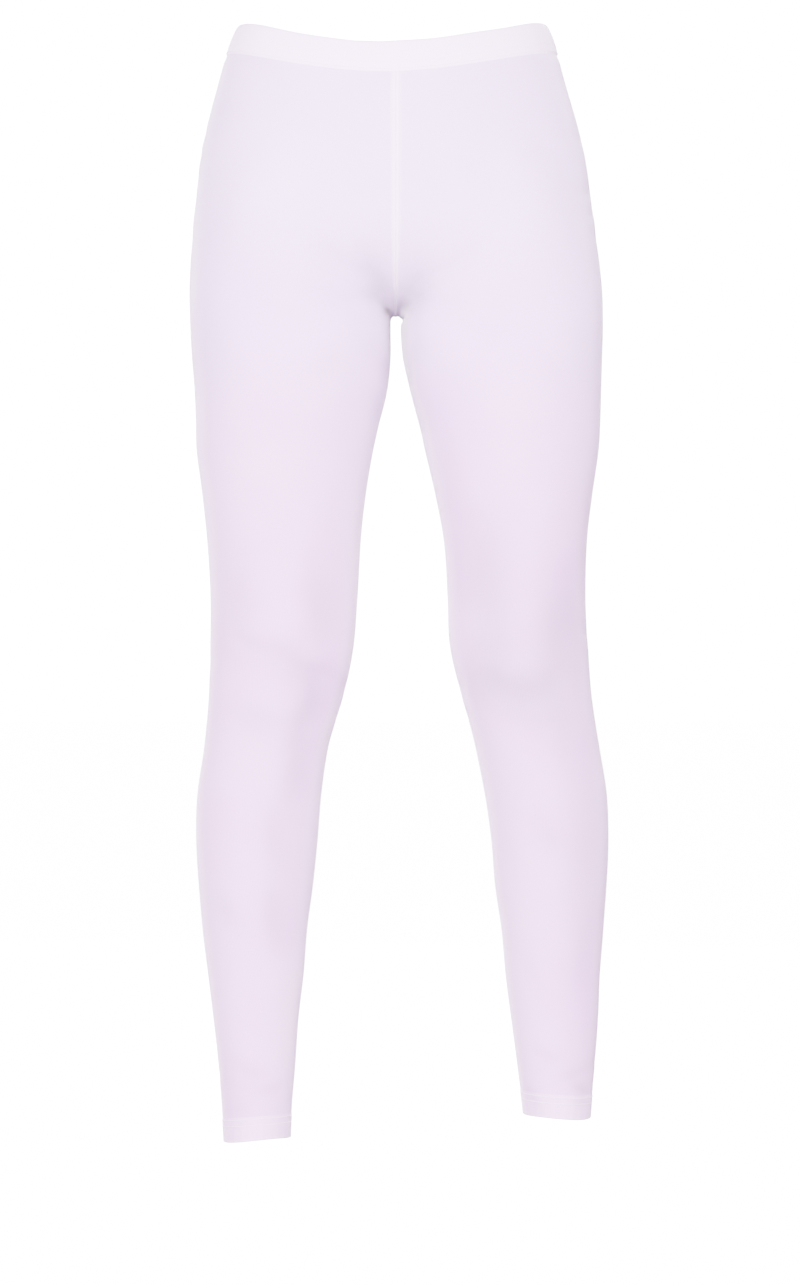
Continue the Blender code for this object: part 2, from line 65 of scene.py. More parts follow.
# How the casing and the hems swell, how the seam pinches them and how far that reaches, how deep
# the needle rows sink in, and how much their inner faces show the seams.
BAND_SHAPE = {"dome": 0.0004, "pinch": 0.0005, "pinch_reach": 0.0011, "groove": 0.00022, "inside": 0.4}
HEM_SHAPE = {"dome": 0.0, "pinch": 0.00035, "pinch_reach": 0.0010, "groove": 0.00020, "inside": 0.3}

# How far the elastic pulls the form in, and over what height below the band.
BAND_SQUEEZE = 0.0008
SQUEEZE_FADE = 0.0070

# How far the waist dips at the centre front and back, and how round that dip is.
DIP_CENTRE = -0.009
DIP_ROUND = 1.35
DIP_SHARPNESS = 1.4
FRONT_DIP = 0.0223
BACK_DIP = 0.0015

# How far off its centre a leg's rows start at least, and how squarely they turn in.
AXIS_OFFSET = 0.070
TURN_IN = 0.03

# Soft hollows where the legs meet each other, the seat and, in front and behind, the lap.
THIGH_FILLET = 0.006
CROTCH_FILLET = 0.008
LAP_FILLET = 0.034
LAP_WIDTH = 0.065
LAP_STARTS = 0.030
LAP_REACH = 0.060

# Overlocked seams: how wide and high the allowance inside lifts the cloth, each side.
CENTRE_SEAM = {"half": 0.0034, "raise": 0.00075, "valley": 0.00030}
INSEAM = {"half": 0.0024, "raise": 0.00045, "valley": 0.00020}

# The hollow in front of the fork: its middle, its half width, depth and height, and how much of
# the seam's pale tone is taken away in it, as painted shade.
FORK_HOLLOW = (0.0, -0.050, -0.227)
FORK_HOLLOW_SIZE = (0.03, 0.06, 0.010)
FORK_PAINTED_SHADE = 0.4

# Cover-stitching: two rows of needle thread, how far each lies from the seam line. Each stitch
# rises along its arc: shares of its length, and heights.
BAND_STITCH_ROWS = (0.0022, 0.0074)
HEM_STITCH_ROWS = (0.0022, 0.0072)
STITCH_PITCH = 0.0030
STITCH_LENGTH = 0.0025
STITCH_SHARES = np.array([0.0, 0.12, 0.35, 0.65, 0.88, 1.0])
STITCH_RISE = np.array([-0.0004, 0.00006, 0.00020, 0.00020, 0.00006, -0.0004])
THREAD_RADIUS = 0.00024
THREAD_SIDES = 6
NEEDLE_GROOVE = 0.0008

# Overlocked seam allowances inside: how many columns beside the seam they cover, how thick the
# two layers are, and the looper thread over their cut edge.
STRIP_COLUMNS = 9
NEEDLE_COLUMN = 3
STRIP_THICK = 0.0012
STRIP_GAP = 0.00012
OVERLOCK_PITCH = 0.0024
OVERLOCK_RADIUS = 0.00022
OVERLOCK_SIDES = 5
THREAD_END_RADIUS = 0.00001

# ---- mesh counts ----
SCAN_ANGLES = 84
LEG_COLUMNS = 148
ROW_SPACING = 0.0034
FORK_SUB_ROWS = 7
BAND_COLUMNS = 360
HEM_COLUMNS = 180
HEM_STATIONS = 14
# Stations up the waistband, closest together at the seam and the stitches, and the columns next
# to a leg's seam.
BAND_STATIONS = (0, 1.2, 2.6, 4.5, 6.8, 7.8, 9.5, 12, 15, 18, 20.5, 22)
NEAR_SEAM = np.array([0, 0.35, 0.75, 1.2, 1.7, 2.3, 3, 3.9, 5.1, 6.8, 9.2]) * MM

# Seat and belly: at each height the half width, the centre line, the front and
# the back line, and how square the section is in front and behind.
SEAT = (
    (10, 123, -2.7, -88, 84, 2.25, 2.3),
    (-4, 129.6, -2.8, -92, 88, 2.25, 2.3),
    (-17, 133.8, -3.2, -95, 92, 2.25, 2.35),
    (-34, 138.4, -3.4, -99, 98, 2.3, 2.4),
    (-46, 141.6, -3.3, -101, 102, 2.3, 2.4),
    (-70, 148.4, -3, -104, 111, 2.3, 2.45),
    (-95, 154.4, -2.7, -105, 118, 2.35, 2.45),
    (-120, 158.2, -2.2, -104, 122, 2.35, 2.45),
    (-150, 160.6, -1.8, -101, 122, 2.4, 2.45),
    (-190, 162, -1, -98, 118, 2.2, 2.25),
    (-240, 162, 0, -95, 108, 2, 2),
)
SEAT_FLOOR_START = -148
SEAT_FLOOR = -227
SEAT_FLOOR_SQUARE = 2.2
LEG_TOP = -118
LEG_TOP_CLOSING = 12

# The legs: at each height, first for the right leg and then for the left, how far
# out its outer and inner lines stand from the centre-front seam, its front and back lines, and
# where between them it is widest; then how square both sections are in front and behind.
LEGS = (
    (-60, 128, 30, -84, 84, 2, 124, 30, -84, 84, 2, 2.2, 2.2),
    (-110, 148, 16, -94, 100, 4, 142, 16, -94, 100, 4, 2.2, 2.2),
    (-160, 163.2, 8, -97, 113, 4, 160, 8, -98, 113, 3, 2.2, 2.2),
    (-204, 167.2, 5.2, -97, 109, 2, 166.6, 4.8, -99, 108, 1, 2.3, 2.3),
    (-240, 166.5, 4.6, -96, 98, 0, 167.5, 3.8, -99, 96, -2, 2.4, 2.5),
    (-265, 165, 4.6, -95, 90, 0, 166.8, 5.4, -98, 87, -3, 2.4, 2.5),
    (-289, 163, 7.2, -93, 83, -2, 166, 10.2, -97, 79, -5, 2.3, 2.4),
    (-313, 162, 12.8, -91, 78, -4, 165.2, 17.5, -96, 73, -8, 2.2, 2.3),
    (-338, 161.5, 18.5, -88, 72, -4, 163.8, 23.6, -94, 66, -9, 2.2, 2.2),
    (-374, 156.7, 24.6, -84, 67, -4, 158.7, 32, -91, 59, -11, 2.2, 2.2),
    (-411, 152.7, 28.8, -79, 62, -4, 154.5, 38.7, -87, 52, -12, 2.2, 2.2),
    (-459, 150.2, 31.5, -72, 57, -3, 153.2, 42, -82, 46, -13, 2.2, 2.2),
    (-496, 150.2, 34.4, -67, 53, -2, 155, 43.7, -79, 42, -13, 2.3, 2.2),
    (-532, 151.2, 41.5, -62, 52, -1, 157.5, 51.6, -75, 41, -11, 2.3, 2.3),
    (-557, 153.1, 49, -58, 54, 2, 161, 59, -70, 44, -8, 2.2, 2.3),
    (-581, 155.9, 55.6, -54, 58, 6, 165.2, 65, -65, 49, -3, 2.1, 2.3),
    (-617, 161.4, 60.8, -49, 64, 12, 171.3, 72.2, -57, 57, 5, 2, 2.3),
    (-654, 162.3, 63.8, -45, 68, 16, 172.8, 77.6, -49, 64, 12, 2, 2.2),
    (-690, 160.6, 67.6, -40, 69, 18, 171.4, 80.6, -42, 67, 17, 2, 2.2),
    (-727, 157.4, 72.4, -35, 66, 19, 168.7, 86, -35, 66, 19, 2, 2.2),
    (-763, 152.9, 75.2, -30, 61, 19, 166, 89.2, -28, 62, 21, 2, 2.2),
    (-799, 148.6, 79.5, -26, 57, 18, 164.8, 93.9, -22, 60, 22, 2, 2.1),
    (-836, 144.6, 82.3, -23, 53, 17, 162, 98.9, -17, 58, 22, 2, 2.1),
    (-872, 141.6, 85.1, -20, 52, 17, 159, 103.6, -14, 57, 22, 2, 2.1),
    (-905, 139.6, 86.6, -19, 53, 18, 156.4, 106.8, -13, 57, 23, 2, 2.1),
)

# Where each hem ends: the height at its inner and outer side, and how much
# higher it rides in front than at the sides.
HEM_RIGHT = (-895.9, -900.0, 2.0)
HEM_LEFT = (-877.3, -880.6, 0.0)

# Rows round a leg above the fork, as shares of the way up from the fork to the waist seam:
# at the outer side and at the centre seams, and how much of the waist's front dip they keep.
SEAT_ROWS = (
    (1, 1, 1),
    (0.978, 0.981, 1),
    (0.945, 0.948, 0.95),
    (0.85, 0.86, 0.8),
    (0.74, 0.75, 0.6),
    (0.63, 0.63, 0.4),
    (0.52, 0.5, 0.22),
    (0.42, 0.375, 0.1),
    (0.335, 0.262, 0.03),
    (0.262, 0.175, 0),
    (0.202, 0.103, 0),
    (0.152, 0.055, 0),
    (0.108, 0.026, 0),
    (0.068, 0.01, 0),
    (0.032, 0.0022, 0),
    (0, 0, 0),
)
FORK_OUTER = -182
# The heights between which the fork is looked for, in metres.
FORK_BOUNDS = (-0.245, -0.220)
# Rows below the fork, by how much further down: at the outer side and at the inseam.
FORK_ROWS = ((0, 0), (8, 3), (18, 7.5), (30, 14.5), (44, 26), (62, 44), (86, 72), (114, 106))

# Folds and creases, by the side of the garment that they are seen from. Each runs
# from one place to another: across, which is x for front and back and y for the outer and inner
# sides, and height. Then come its bow, which is how far its middle swings down, its half width
# and depth, its lip, which is how much of the depth stands up as a ridge beside it, and its
# shade, which is how much painted shade darkens the cloth in and beside it, or, below zero, how
# much painted light pales it.
FRONT_FOLDS = (
    # The large ones, which the solids have too.
    (62, -505, 96, -498, 0, 13, 1.6, 0, 0.2),
    (-66, -501, -108, -508, 0, 14, 1.2, 0, 0.2),
    # Drag lines that run into the crotch, with painted shade in a V above the fork.
    (-25, -186, -9, -229, -2, 6.5, 1.7, 0.2, 0.45),
    (20, -197, 9, -232, 2, 8, 1.8, 0.2, 0.42),
    (-14, -207, -6, -225, 0, 4, 0.4, 0, 0.22),
    (15, -210, 8, -228, 0, 4, 0.4, 0, 0.25),
    (-8, -228, 10, -230, 0, 5, 0.5, 0, 0.4),
    (-15, -205, -60, -180, 3, 6, 1.1, 0.3, 0.08),
    (15, -208, 54, -188, 2, 6, 0.9, 0.3, 0.08),
    (-11, -222, -68, -215, 3, 5.5, 1, 0.4, 0.12),
    (12, -224, 57, -228, -2, 5.5, 0.8, 0.4, 0.12),
    (-98, -221, -82, -226, 0, 4, -0.7, 0, 0),
    (-48, -234, -34, -246, 0, 5, -0.7, 0, 0),
    (60, -244, 86, -252, 2, 6, 0.6, 0.2, 0.1),
    (-44, -262, -66, -284, 2, 7, 0.6, 0.2, 0.15),
    # The right knee: creases, and hollows darkened with painted shade.
    (-130, -489, -96, -501, 3, 5.5, 0.9, 0.3, 0.2),
    (-63, -432, -53, -502, 1, 12, 0.9, 0.1, 0.5),
    (-90, -506, -54, -520, 3, 6.5, 1.9, 0.4, 0.45),
    (-82, -524, -58, -528, 1, 6, 0.9, 0.3, 0.2),
    (-61, -520, -75, -566, 2, 9, 1.8, 0.2, 0.65),
    (-75, -560, -82, -628, 2, 10, 1.4, 0.2, 0.5),
    (-128, -549, -92, -562, 4, 10, 1, 0.2, 0.32),
    (-132, -430, -124, -500, 0, 14, 0.5, 0, 0.32),
    # The left knee: creases, and hollows darkened with painted shade.
    (71, -400, 79, -512, 2, 14, 1, 0.1, 0.58),
    (66, -508, 90, -542, 3, 11.5, 1.6, 0.2, 0.62),
    (76, -528, 138, -520, 9, 12, 1.6, 0.2, 0.72),
    (134, -448, 124, -524, 2, 15, 1.5, 0.1, 0.72),
    (128, -524, 142, -590, 1, 11, 0.9, 0.1, 0.42),
    (98, -560, 128, -556, 3, 7, 0.8, 0.2, 0.2),
    # Shins and ankles.
    (-98, -632, -88, -684, 1, 9, 1.4, 0.2, 0.3),
    (-101, -690, -84, -716, 2, 7, 1, 0.2, 0.2),
    (-101, -706, -86, -744, 1, 8, 1.6, 0.3, 0.35),
    (-146, -700, -128, -726, 1, 7, 0.7, 0.2, 0.2),
    (84, -650, 94, -690, 1, 8, 0.8, 0.2, 0.1),
    (154, -610, 150, -716, 0, 13, 0.7, 0, 0.3),
    (116, -642, 127, -664, 0, 7, 0.6, 0.2, 0.25),
    (157, -712, 149, -776, 1, 8, 1, 0.2, 0.18),
    (100, -742, 112, -776, 1, 7, 0.6, 0.2, 0.1),
    (-130, -836, -104, -844, 2, 4.5, 0.8, 0.4, 0.2),
    (-112, -858, -90, -852, 2, 4, 0.8, 0.4, 0.25),
    (-134, -872, -118, -868, 1, 3.5, 0.6, 0.4, 0.2),
    (110, -824, 134, -832, 2, 4.5, 0.7, 0.4, 0.2),
    (134, -846, 153, -841, 1, 3.5, 0.8, 0.4, 0.3),
    (146, -853, 158, -862, 0, 3.2, 1.2, 0.4, 0.45),
    (144, -866, 156, -870, 0, 3, 0.9, 0.4, 0.45),
    (106, -858, 114, -872, 0, 3.5, 0.9, 0.3, 0.4),
    # Paler bands with no depth, down the knees, shins and ankles: painted light.
    (81, -570, 104, -865, 0, 13, 0, 0, -0.34),
    (-82, -400, -87, -500, 0, 11, 0, 0, -0.16),
    (-134, -755, -131, -885, 0, 8, 0, 0, -0.12),
    (-88, -735, -86, -870, 0, 10, 0, 0, -0.14),
)
BACK_FOLDS = (
    # The large ones, which the solids have too.
    (-34, -240, -128, -226, 0, 13, 3.6, 0, 0.3),
    (30, -238, 124, -219, 0, 12, 3.2, 0, 0.3),
    (-60, -549, -126, -541, 0, 15, 3, 0, 0.3),
    (72, -553, 138, -563, 0, 14, 3.4, 0, 0.3),
    (-66, -583, -112, -590, 0, 11, 1.6, 0, 0.2),
    # Drag lines from the seat seam and under the seat.
    (-7, -70, -42, -56, 2, 6, 1, 0.3, 0.2),
    (7, -90, 46, -78, 2, 6, 0.9, 0.3, 0.2),
    (-9, -128, -52, -108, 3, 7, 0.9, 0.3, 0.2),
    (-12, -198, -64, -164, 4, 7.5, 1.6, 0.3, 0.3),
    (12, -202, 68, -172, 4, 7.5, 1.5, 0.3, 0.3),
    (-14, -224, -88, -202, 5, 7, 1.5, 0.3, 0.3),
    (14, -222, 76, -204, 4, 7, 1.4, 0.3, 0.3),
    (-40, -264, -108, -252, 5, 7.5, 1.7, 0.3, 0.3),
    (44, -260, 116, -246, 5, 7.5, 1.6, 0.3, 0.3),
    (-60, -286, -118, -280, 4, 7.5, 1, 0.3, 0.2),
    (58, -284, 106, -275, 3, 7.5, 1, 0.3, 0.2),
    # Behind the knees.
    (-50, -520, -118, -511, 6, 7, 2, 0.3, 0.4),
    (-62, -534, -106, -531, 3, 5.5, 1.4, 0.4, 0.3),
    (-56, -568, -122, -563, 6, 6.5, 2.1, 0.3, 0.4),
    (-84, -606, -126, -613, 3, 8, 1.2, 0.3, 0.2),
    (60, -528, 130, -519, 6, 7, 2, 0.3, 0.4),
    (76, -541, 118, -542, 3, 5.5, 1.4, 0.4, 0.3),
    (78, -579, 148, -586, 6, 6.5, 2, 0.3, 0.4),
    (94, -606, 136, -600, 3, 8, 1.1, 0.3, 0.2),
    # Calves and ankles.
    (-84, -736, -110, -766, 2, 8, 1.1, 0.3, 0.2),
    (-134, -760, -112, -784, 2, 7, 0.9, 0.3, 0.2),
    (104, -728, 124, -762, 2, 8, 1, 0.3, 0.2),
    (150, -752, 132, -780, 2, 7, 0.8, 0.3, 0.2),
    (-90, -816, -130, -824, 3, 5, 1.2, 0.4, 0.3),
    (-98, -842, -134, -838, 2, 4.5, 1.2, 0.4, 0.3),
    (-94, -864, -122, -869, 1, 4, 0.9, 0.4, 0.2),
    (110, -802, 150, -812, 3, 5, 1.2, 0.4, 0.3),
    (108, -828, 142, -824, 2, 4.5, 1.2, 0.4, 0.3),
    (120, -848, 152, -853, 1, 4, 0.9, 0.4, 0.2),
)
# Outer sides: pulls at the hips and easing beside the knees.
RIGHT_FOLDS = (
    (-62, -70, -14, -66, 2, 5, 0.7, 0.4, 0.1),
    (-58, -86, -6, -83, 3, 5.5, 0.8, 0.4, 0.1),
    (-50, -104, -4, -99, 3, 5, 0.7, 0.4, 0.1),
    (-56, -122, -10, -118, 2, 5.5, 0.6, 0.4, 0.1),
    (14, -62, 62, -70, -2, 5.5, 0.8, 0.4, 0.1),
    (18, -90, 70, -84, 3, 6, 0.7, 0.4, 0.1),
    (-44, -500, -8, -510, 3, 7, 0.9, 0.3, 0.2),
    (10, -524, 44, -534, 3, 7, 1.5, 0.3, 0.3),
    (12, -556, 50, -552, 2, 6.5, 1.3, 0.3, 0.3),
    (20, -586, 56, -596, 3, 7, 1, 0.3, 0.2),
    (22, -822, 46, -831, 2, 4.5, 0.8, 0.4, 0.2),
    (-8, -850, 16, -846, 1, 4, 0.5, 0.4, 0.2),
)
LEFT_FOLDS = (
    (-60, -132, -12, -127, 3, 5.5, 0.8, 0.4, 0.1),
    (-56, -148, -8, -145, 3, 5, 0.7, 0.4, 0.1),
    (-54, -84, -10, -90, 2, 5.5, 0.7, 0.4, 0.1),
    (14, -104, 66, -98, 2, 6, 0.8, 0.4, 0.1),
    (16, -74, 60, -66, 2, 5.5, 0.8, 0.4, 0.1),
    (-56, -478, -20, -487, 3, 7, 0.9, 0.3, 0.2),
    (4, -512, 34, -524, 3, 7, 1.4, 0.3, 0.3),
    (4, -548, 42, -543, 2, 6.5, 1.3, 0.3, 0.3),
    (16, -580, 52, -588, 3, 7, 1, 0.3, 0.2),
    (24, -806, 50, -815, 2, 4.5, 0.8, 0.4, 0.2),
    (-2, -838, 20, -834, 1, 4, 0.5, 0.4, 0.2),
)
# Inner sides: creases, painted light down the inner thighs, knees and calves, and a line of painted shade
# beside the fork.
RIGHT_INNER_FOLDS = (
    (-22, -205, -14, -600, 0, 26, 0, 0, -0.62),
    (-40, -500, -24, -575, 0, 12, 0, 0, -0.3),
    (-10, -560, 4, -880, 0, 18, 0, 0, -0.38),
    (-62, -258, -14, -284, 3, 7, 0.9, 0.3, 0.3),
    (-52, -300, -6, -318, 3, 7, 0.7, 0.3, 0.2),
    (12, -270, 60, -256, 3, 7, 0.9, 0.3, 0.2),
    (-44, -520, -6, -532, 3, 7, 0.9, 0.3, 0.3),
    (8, -534, 42, -546, 3, 7, 1.6, 0.3, 0.3),
    (10, -572, 52, -566, 3, 7, 1.2, 0.3, 0.3),
)
LEFT_INNER_FOLDS = (
    (-34, -231, -28, -292, 0, 9, 0.3, 0, 0.8),
    (-52, -475, -46, -545, 0, 8, 0, 0, -0.35),
    (-8, -262, -6, -308, 0, 24, 1.3, 0, 0),
    (-62, -260, -16, -288, 3, 7, 0.9, 0.3, 0.3),
    (-54, -310, -10, -326, 3, 7, 0.6, 0.3, 0.2),
    (10, -276, 56, -258, 3, 7, 0.9, 0.3, 0.2),
    (-58, -516, -18, -534, 3, 7.5, 1, 0.3, 0.3),
    (-2, -530, 34, -544, 3, 7, 1.6, 0.3, 0.3),
    (4, -570, 46, -562, 3, 7, 1.2, 0.3, 0.3),
)
# The corners of the fork, darkened with painted shade, and its underside.
RIGHT_FORK_FOLDS = (
    (-7.8, -224, -5.5, -231, 0, 1.8, 0.3, 0, 1.8),
)
LEFT_FORK_FOLDS = (
    (5, -223, 9.5, -227, 0, 2.2, 0.3, 0, 1.3),
    (5.5, -234, 5, -262, 0, 1.6, 0.2, 0, 1.4),
    (3, -232, 5, -234, 0, 4, 2.2, 0, 0),
)
UNDER_FOLDS = (
    (-3, -228, 3, -228, 0, 4, -1.3, 0, 0),
)

RIGHT = -1
LEFT = 1

# The direction that each side is seen from, the leg it is on (0 for both), and its folds.
SIDES = (
    ((0, -1, 0), 0, FRONT_FOLDS),
    ((0, 1, 0), 0, BACK_FOLDS),
    ((-1, 0, 0), RIGHT, RIGHT_FOLDS),
    ((1, 0, 0), LEFT, LEFT_FOLDS),
    ((1, 0, 0), RIGHT, RIGHT_INNER_FOLDS),
    ((-1, 0, 0), LEFT, LEFT_INNER_FOLDS),
    ((0.83, -0.55, 0), 0, RIGHT_FORK_FOLDS),
    ((-0.83, -0.55, 0), 0, LEFT_FORK_FOLDS),
    ((0, 0, -1), 0, UNDER_FOLDS),
)


# ---- reading the tables ----
FINE_STEP = 0.0005
LOWEST = -0.960
HIGHEST = 0.040


def bell(t):
    return np.exp(-(t**2))


def ease(t):
    t = np.clip(t, 0.0, 1.0)
    return t**2 * (3 - 2 * t)


def unit(vectors):
    return vectors / np.linalg.norm(vectors, axis=-1, keepdims=True)


def distances(line):
    """How far along a line each of its points lies."""
    steps = np.linalg.norm(np.diff(line, axis=0), axis=1)
    return np.concatenate([[0.0], np.cumsum(steps)])


def read_at(places, along, line):
    """A line's values at places along it."""
    return np.stack([np.interp(places, along, line[:, axis]) for axis in range(3)], axis=-1)


def smooth_through(places, values, wanted):
    """A smooth line through a few places, read at many; it never overshoots."""
    rise = np.diff(values) / np.diff(places)
    same = rise[:-1] * rise[1:] > 0
    middle = 2 * rise[:-1] * rise[1:] / np.where(same, rise[:-1] + rise[1:], 1.0)
    slopes = np.concatenate([rise[:1], np.where(same, middle, 0.0), rise[-1:]])
    return hermite(places, values, slopes, wanted)


def hermite(places, values, slopes, wanted):
    at = np.clip(wanted, places[0], places[-1])
    k = np.clip(np.searchsorted(places, at) - 1, 0, len(places) - 2)
    span = places[k + 1] - places[k]
    t = (at - places[k]) / span
    if values.ndim > 1:
        span = span[..., None]
        t = t[..., None]
    return (
        (2 * t**3 - 3 * t**2 + 1) * values[k]
        + (t**3 - 2 * t**2 + t) * span * slopes[k]
        + (3 * t**2 - 2 * t**3) * values[k + 1]
        + (t**3 - t**2) * span * slopes[k + 1]
    )


def central_slopes(places, values):
    near = np.pad(np.arange(len(places)), 1, mode="edge")
    run = places[near[2:]] - places[near[:-2]]
    return (values[near[2:]] - values[near[:-2]]) / run[:, None]


def make_lines(table):
    """A table's columns as smooth lines, sampled finely by height in metres."""
    rows = np.array(table[::-1], dtype=float)
    # The last two columns say how square a section is, so they are no lengths.
    rows[:, :-2] *= MM
    heights = rows[:, 0]
    values = rows[:, 1:]
    fine = np.arange(LOWEST, HIGHEST, FINE_STEP)
    return hermite(heights, values, central_slopes(heights, values), fine)


def read_lines(lines, height):
    """The value of each of a table's lines at an array of heights."""
    place = (np.clip(height, LOWEST, HIGHEST - 2 * FINE_STEP) - LOWEST) / FINE_STEP
    k = place.astype(int)
    t = (place - k)[..., None]
    return np.moveaxis(lines[k] * (1 - t) + lines[k + 1] * t, -1, 0)


SEAT_LINES = make_lines(SEAT)
LEG_LINES = {
    RIGHT: make_lines([row[:6] + row[11:] for row in LEGS]),
    LEFT: make_lines([row[:1] + row[6:] for row in LEGS]),
}
HEMS = {RIGHT: HEM_RIGHT, LEFT: HEM_LEFT}


# ---- the form the cloth lies on: below zero inside, above zero outside ----
def section_gap(dx, dy, dz, half, front, back, floor, square_front, square_back):
    """Distance out from a rounded section along the line from its centre."""
    ahead = dy < 0
    depth = np.where(ahead, front, back)
    square = np.where(ahead, square_front, square_back)
    ratio = np.abs(dx / half) ** square + np.abs(dy / depth) ** square
    ratio = ratio + (dz / floor) ** SEAT_FLOOR_SQUARE
    ratio = np.maximum(ratio, 1e-9) ** (1.0 / square)
    reach = np.sqrt(dx**2 + dy**2 + dz**2)
    return reach * (1.0 - 1.0 / ratio)


def seat_gap(x, y, z):
    half, centre, front, back, *squares = read_lines(SEAT_LINES, z)
    below = np.maximum(SEAT_FLOOR_START * MM - z, 0.0)
    floor = (SEAT_FLOOR_START - SEAT_FLOOR) * MM
    return section_gap(x - centre, y, below, half, -front, back, floor, *squares)


def leg_gap(side, x, y, z):
    outer, inner, front, back, widest, *squares = read_lines(LEG_LINES[side], z)
    half = (outer - inner) / 2
    dx = side * x - (outer + inner) / 2
    gap = section_gap(dx, y - widest, 0 * dx, half, widest - front, back - widest, 1.0, *squares)
    return gap + LEG_TOP_CLOSING * np.maximum(z - LEG_TOP * MM, 0.0) ** 2


def blend_least(a, b, width):
    near = np.maximum(width - np.abs(a - b), 0.0) / width
    return np.minimum(a, b) - near**2 * width / 4


def band_end(x, y):
    """Height of the waistband's lower edge at a place round the waist."""
    reach = np.hypot(x - DIP_CENTRE, y * DIP_ROUND) + 1e-9
    turn = (y * DIP_ROUND / reach) ** 2
    dip = np.where(y < 0, FRONT_DIP * turn**DIP_SHARPNESS, BACK_DIP * turn)
    return BAND_TOP - BAND_HEIGHT - dip


def squeeze(x, y, z):
    """How far the elastic pulls the form in, dying out just below the band."""
    return BAND_SQUEEZE * ease((z - band_end(x, y) + SQUEEZE_FADE) / SQUEEZE_FADE)


def form(x, y, z):
    legs = blend_least(leg_gap(RIGHT, x, y, z), leg_gap(LEFT, x, y, z), THIGH_FILLET)
    lap = bell(x / LAP_WIDTH) * ease((np.abs(y) - LAP_STARTS) / LAP_REACH)
    fillet = CROTCH_FILLET + (LAP_FILLET - CROTCH_FILLET) * lap
    return blend_least(seat_gap(x, y, z), legs, fillet) + squeeze(x, y, z)


def form_at(points):
    return form(*np.moveaxis(points, -1, 0))


def outward(points):
    """Unit directions straight out of the form at an array of points."""
    moves = np.eye(3) * 0.0004
    return unit(np.stack([form_at(points + move) - form_at(points - move) for move in moves], axis=-1))


# Where a line cast from inside is first tried, where it is given up, and a first guess.
NEAREST = 0.004
FARTHEST = 0.230
FIRST_GUESS = 0.08
TRIES = 31
REFINEMENTS = 8


def cast(start, heading, farthest=FARTHEST):
    """First places where lines from inside leave the form, or reach farthest without leaving."""
    limit = np.zeros(start.shape[:-1]) + farthest
    reaches = NEAREST + (limit[..., None] - NEAREST) * np.linspace(0.0, 1.0, TRIES)
    gaps = form_at(start[..., None, :] + heading[..., None, :] * reaches[..., None])
    first = np.maximum(np.argmax(gaps > 0, axis=-1), 1)[..., None]
    low, high, low_gap, high_gap = (
        np.take_along_axis(values, at, axis=-1)[..., 0]
        for values in (reaches, gaps)
        for at in (first - 1, first)
    )
    for _ in range(REFINEMENTS):
        middle = (low * high_gap - high * low_gap) / (high_gap - low_gap)
        gap = form_at(start + heading * middle[..., None])
        out = gap > 0
        low_gap = np.where(out, low_gap * 0.5, gap)
        low = np.where(out, low, middle)
        high_gap = np.where(out, gap, high_gap * 0.5)
        high = np.where(out, middle, high)
    reach = np.where((gaps > 0).any(axis=-1), middle, limit)
    return start + heading * reach[..., None]


def settle(axis, heading, height_at, turns, farthest=FARTHEST):
    """Where lines from points on an axis leave the form, from heights that follow those places."""
    place = axis + heading * FIRST_GUESS
    for _ in range(turns):
        start = axis.copy()
        start[..., 2] = height_at(place[..., 0], place[..., 1])
        place = cast(start, heading, farthest)
    return place


# ---- rows of points round a leg ----
def leg_axis(side, z):
    outer, inner, front, back = read_lines(LEG_LINES[side], z)[:4]
    return side * np.maximum((outer + inner) / 2, AXIS_OFFSET), (front + back) / 2


def hem_end(side, x, y):
    """Height of the hem's lower edge at a place round the ankle."""
    inner_end, outer_end, front_lift = HEMS[side]
    centre_x, centre_y = leg_axis(side, ANKLE_HEIGHT)
    out = side * (x - centre_x) / ANKLE_HALF_WIDTH
    ahead = np.clip((centre_y - y) / ANKLE_HALF_DEPTH, -1.0, 1.0)
    height = (inner_end + outer_end) / 2 + (outer_end - inner_end) / 2 * out + front_lift * ahead
    return height * MM


def start_height(side, row, x, y):
    """Height on the leg's axis from which a row heads for the place (x, y)."""
    if row["share"] > 0:
        hem_top = hem_end(side, x, y) + HEM_HEIGHT + SEAM_GAP
        return row["height"] * (1 - row["share"]) + hem_top * row["share"]
    dip = band_end(x, y) - BAND_TOP + BAND_HEIGHT
    return row["height"] + dip * row["keep"]


def make_row(side, outer, seam, keep=0.0, share=0.0):
    """A row that lies level outside the leg's axis and slopes down to the seam inside it."""
    slope = (outer - seam) / abs(float(leg_axis(side, outer)[0]))
    return {"height": outer, "slope": slope, "keep": keep, "share": share}


def lean_in(angles):
    return (np.cos(angles) + np.sqrt(np.cos(angles) ** 2 + TURN_IN)) / 2


def cast_row(side, row, angles):
    """Points of a row for angles round the leg: 0 faces the other leg, 90 degrees the back."""
    fall = -row["slope"] * lean_in(angles)
    heading = unit(np.stack([-side * np.cos(angles), np.sin(angles), fall], axis=-1))
    centre_x, centre_y = leg_axis(side, np.full(angles.shape, row["height"]))
    axis = np.stack([centre_x, centre_y, 0.0 * centre_x], axis=-1)
    inward = np.maximum(-side * heading[..., 0], 1e-6)
    farthest = np.minimum((np.abs(centre_x) - SEAM_GAP / 2) / inward, FARTHEST)
    turns = 4 if row["keep"] > 0 or row["share"] > 0 else 1
    return settle(axis, heading, lambda x, y: start_height(side, row, x, y), turns, farthest)


def seam_gaps(side, row, y):
    """Distance out of the form where a row passes through the seam plane, and its angle."""
    x = side * SEAM_GAP / 2 + 0.0 * y
    centre_x, centre_y = leg_axis(side, row["height"])
    inward = abs(float(centre_x)) - SEAM_GAP / 2
    angles = np.arctan2(y - centre_y, inward)
    level = np.hypot(y - centre_y, inward)
    z = start_height(side, row, x, y) - row["slope"] * lean_in(angles) * level
    return form(x, y, z), angles


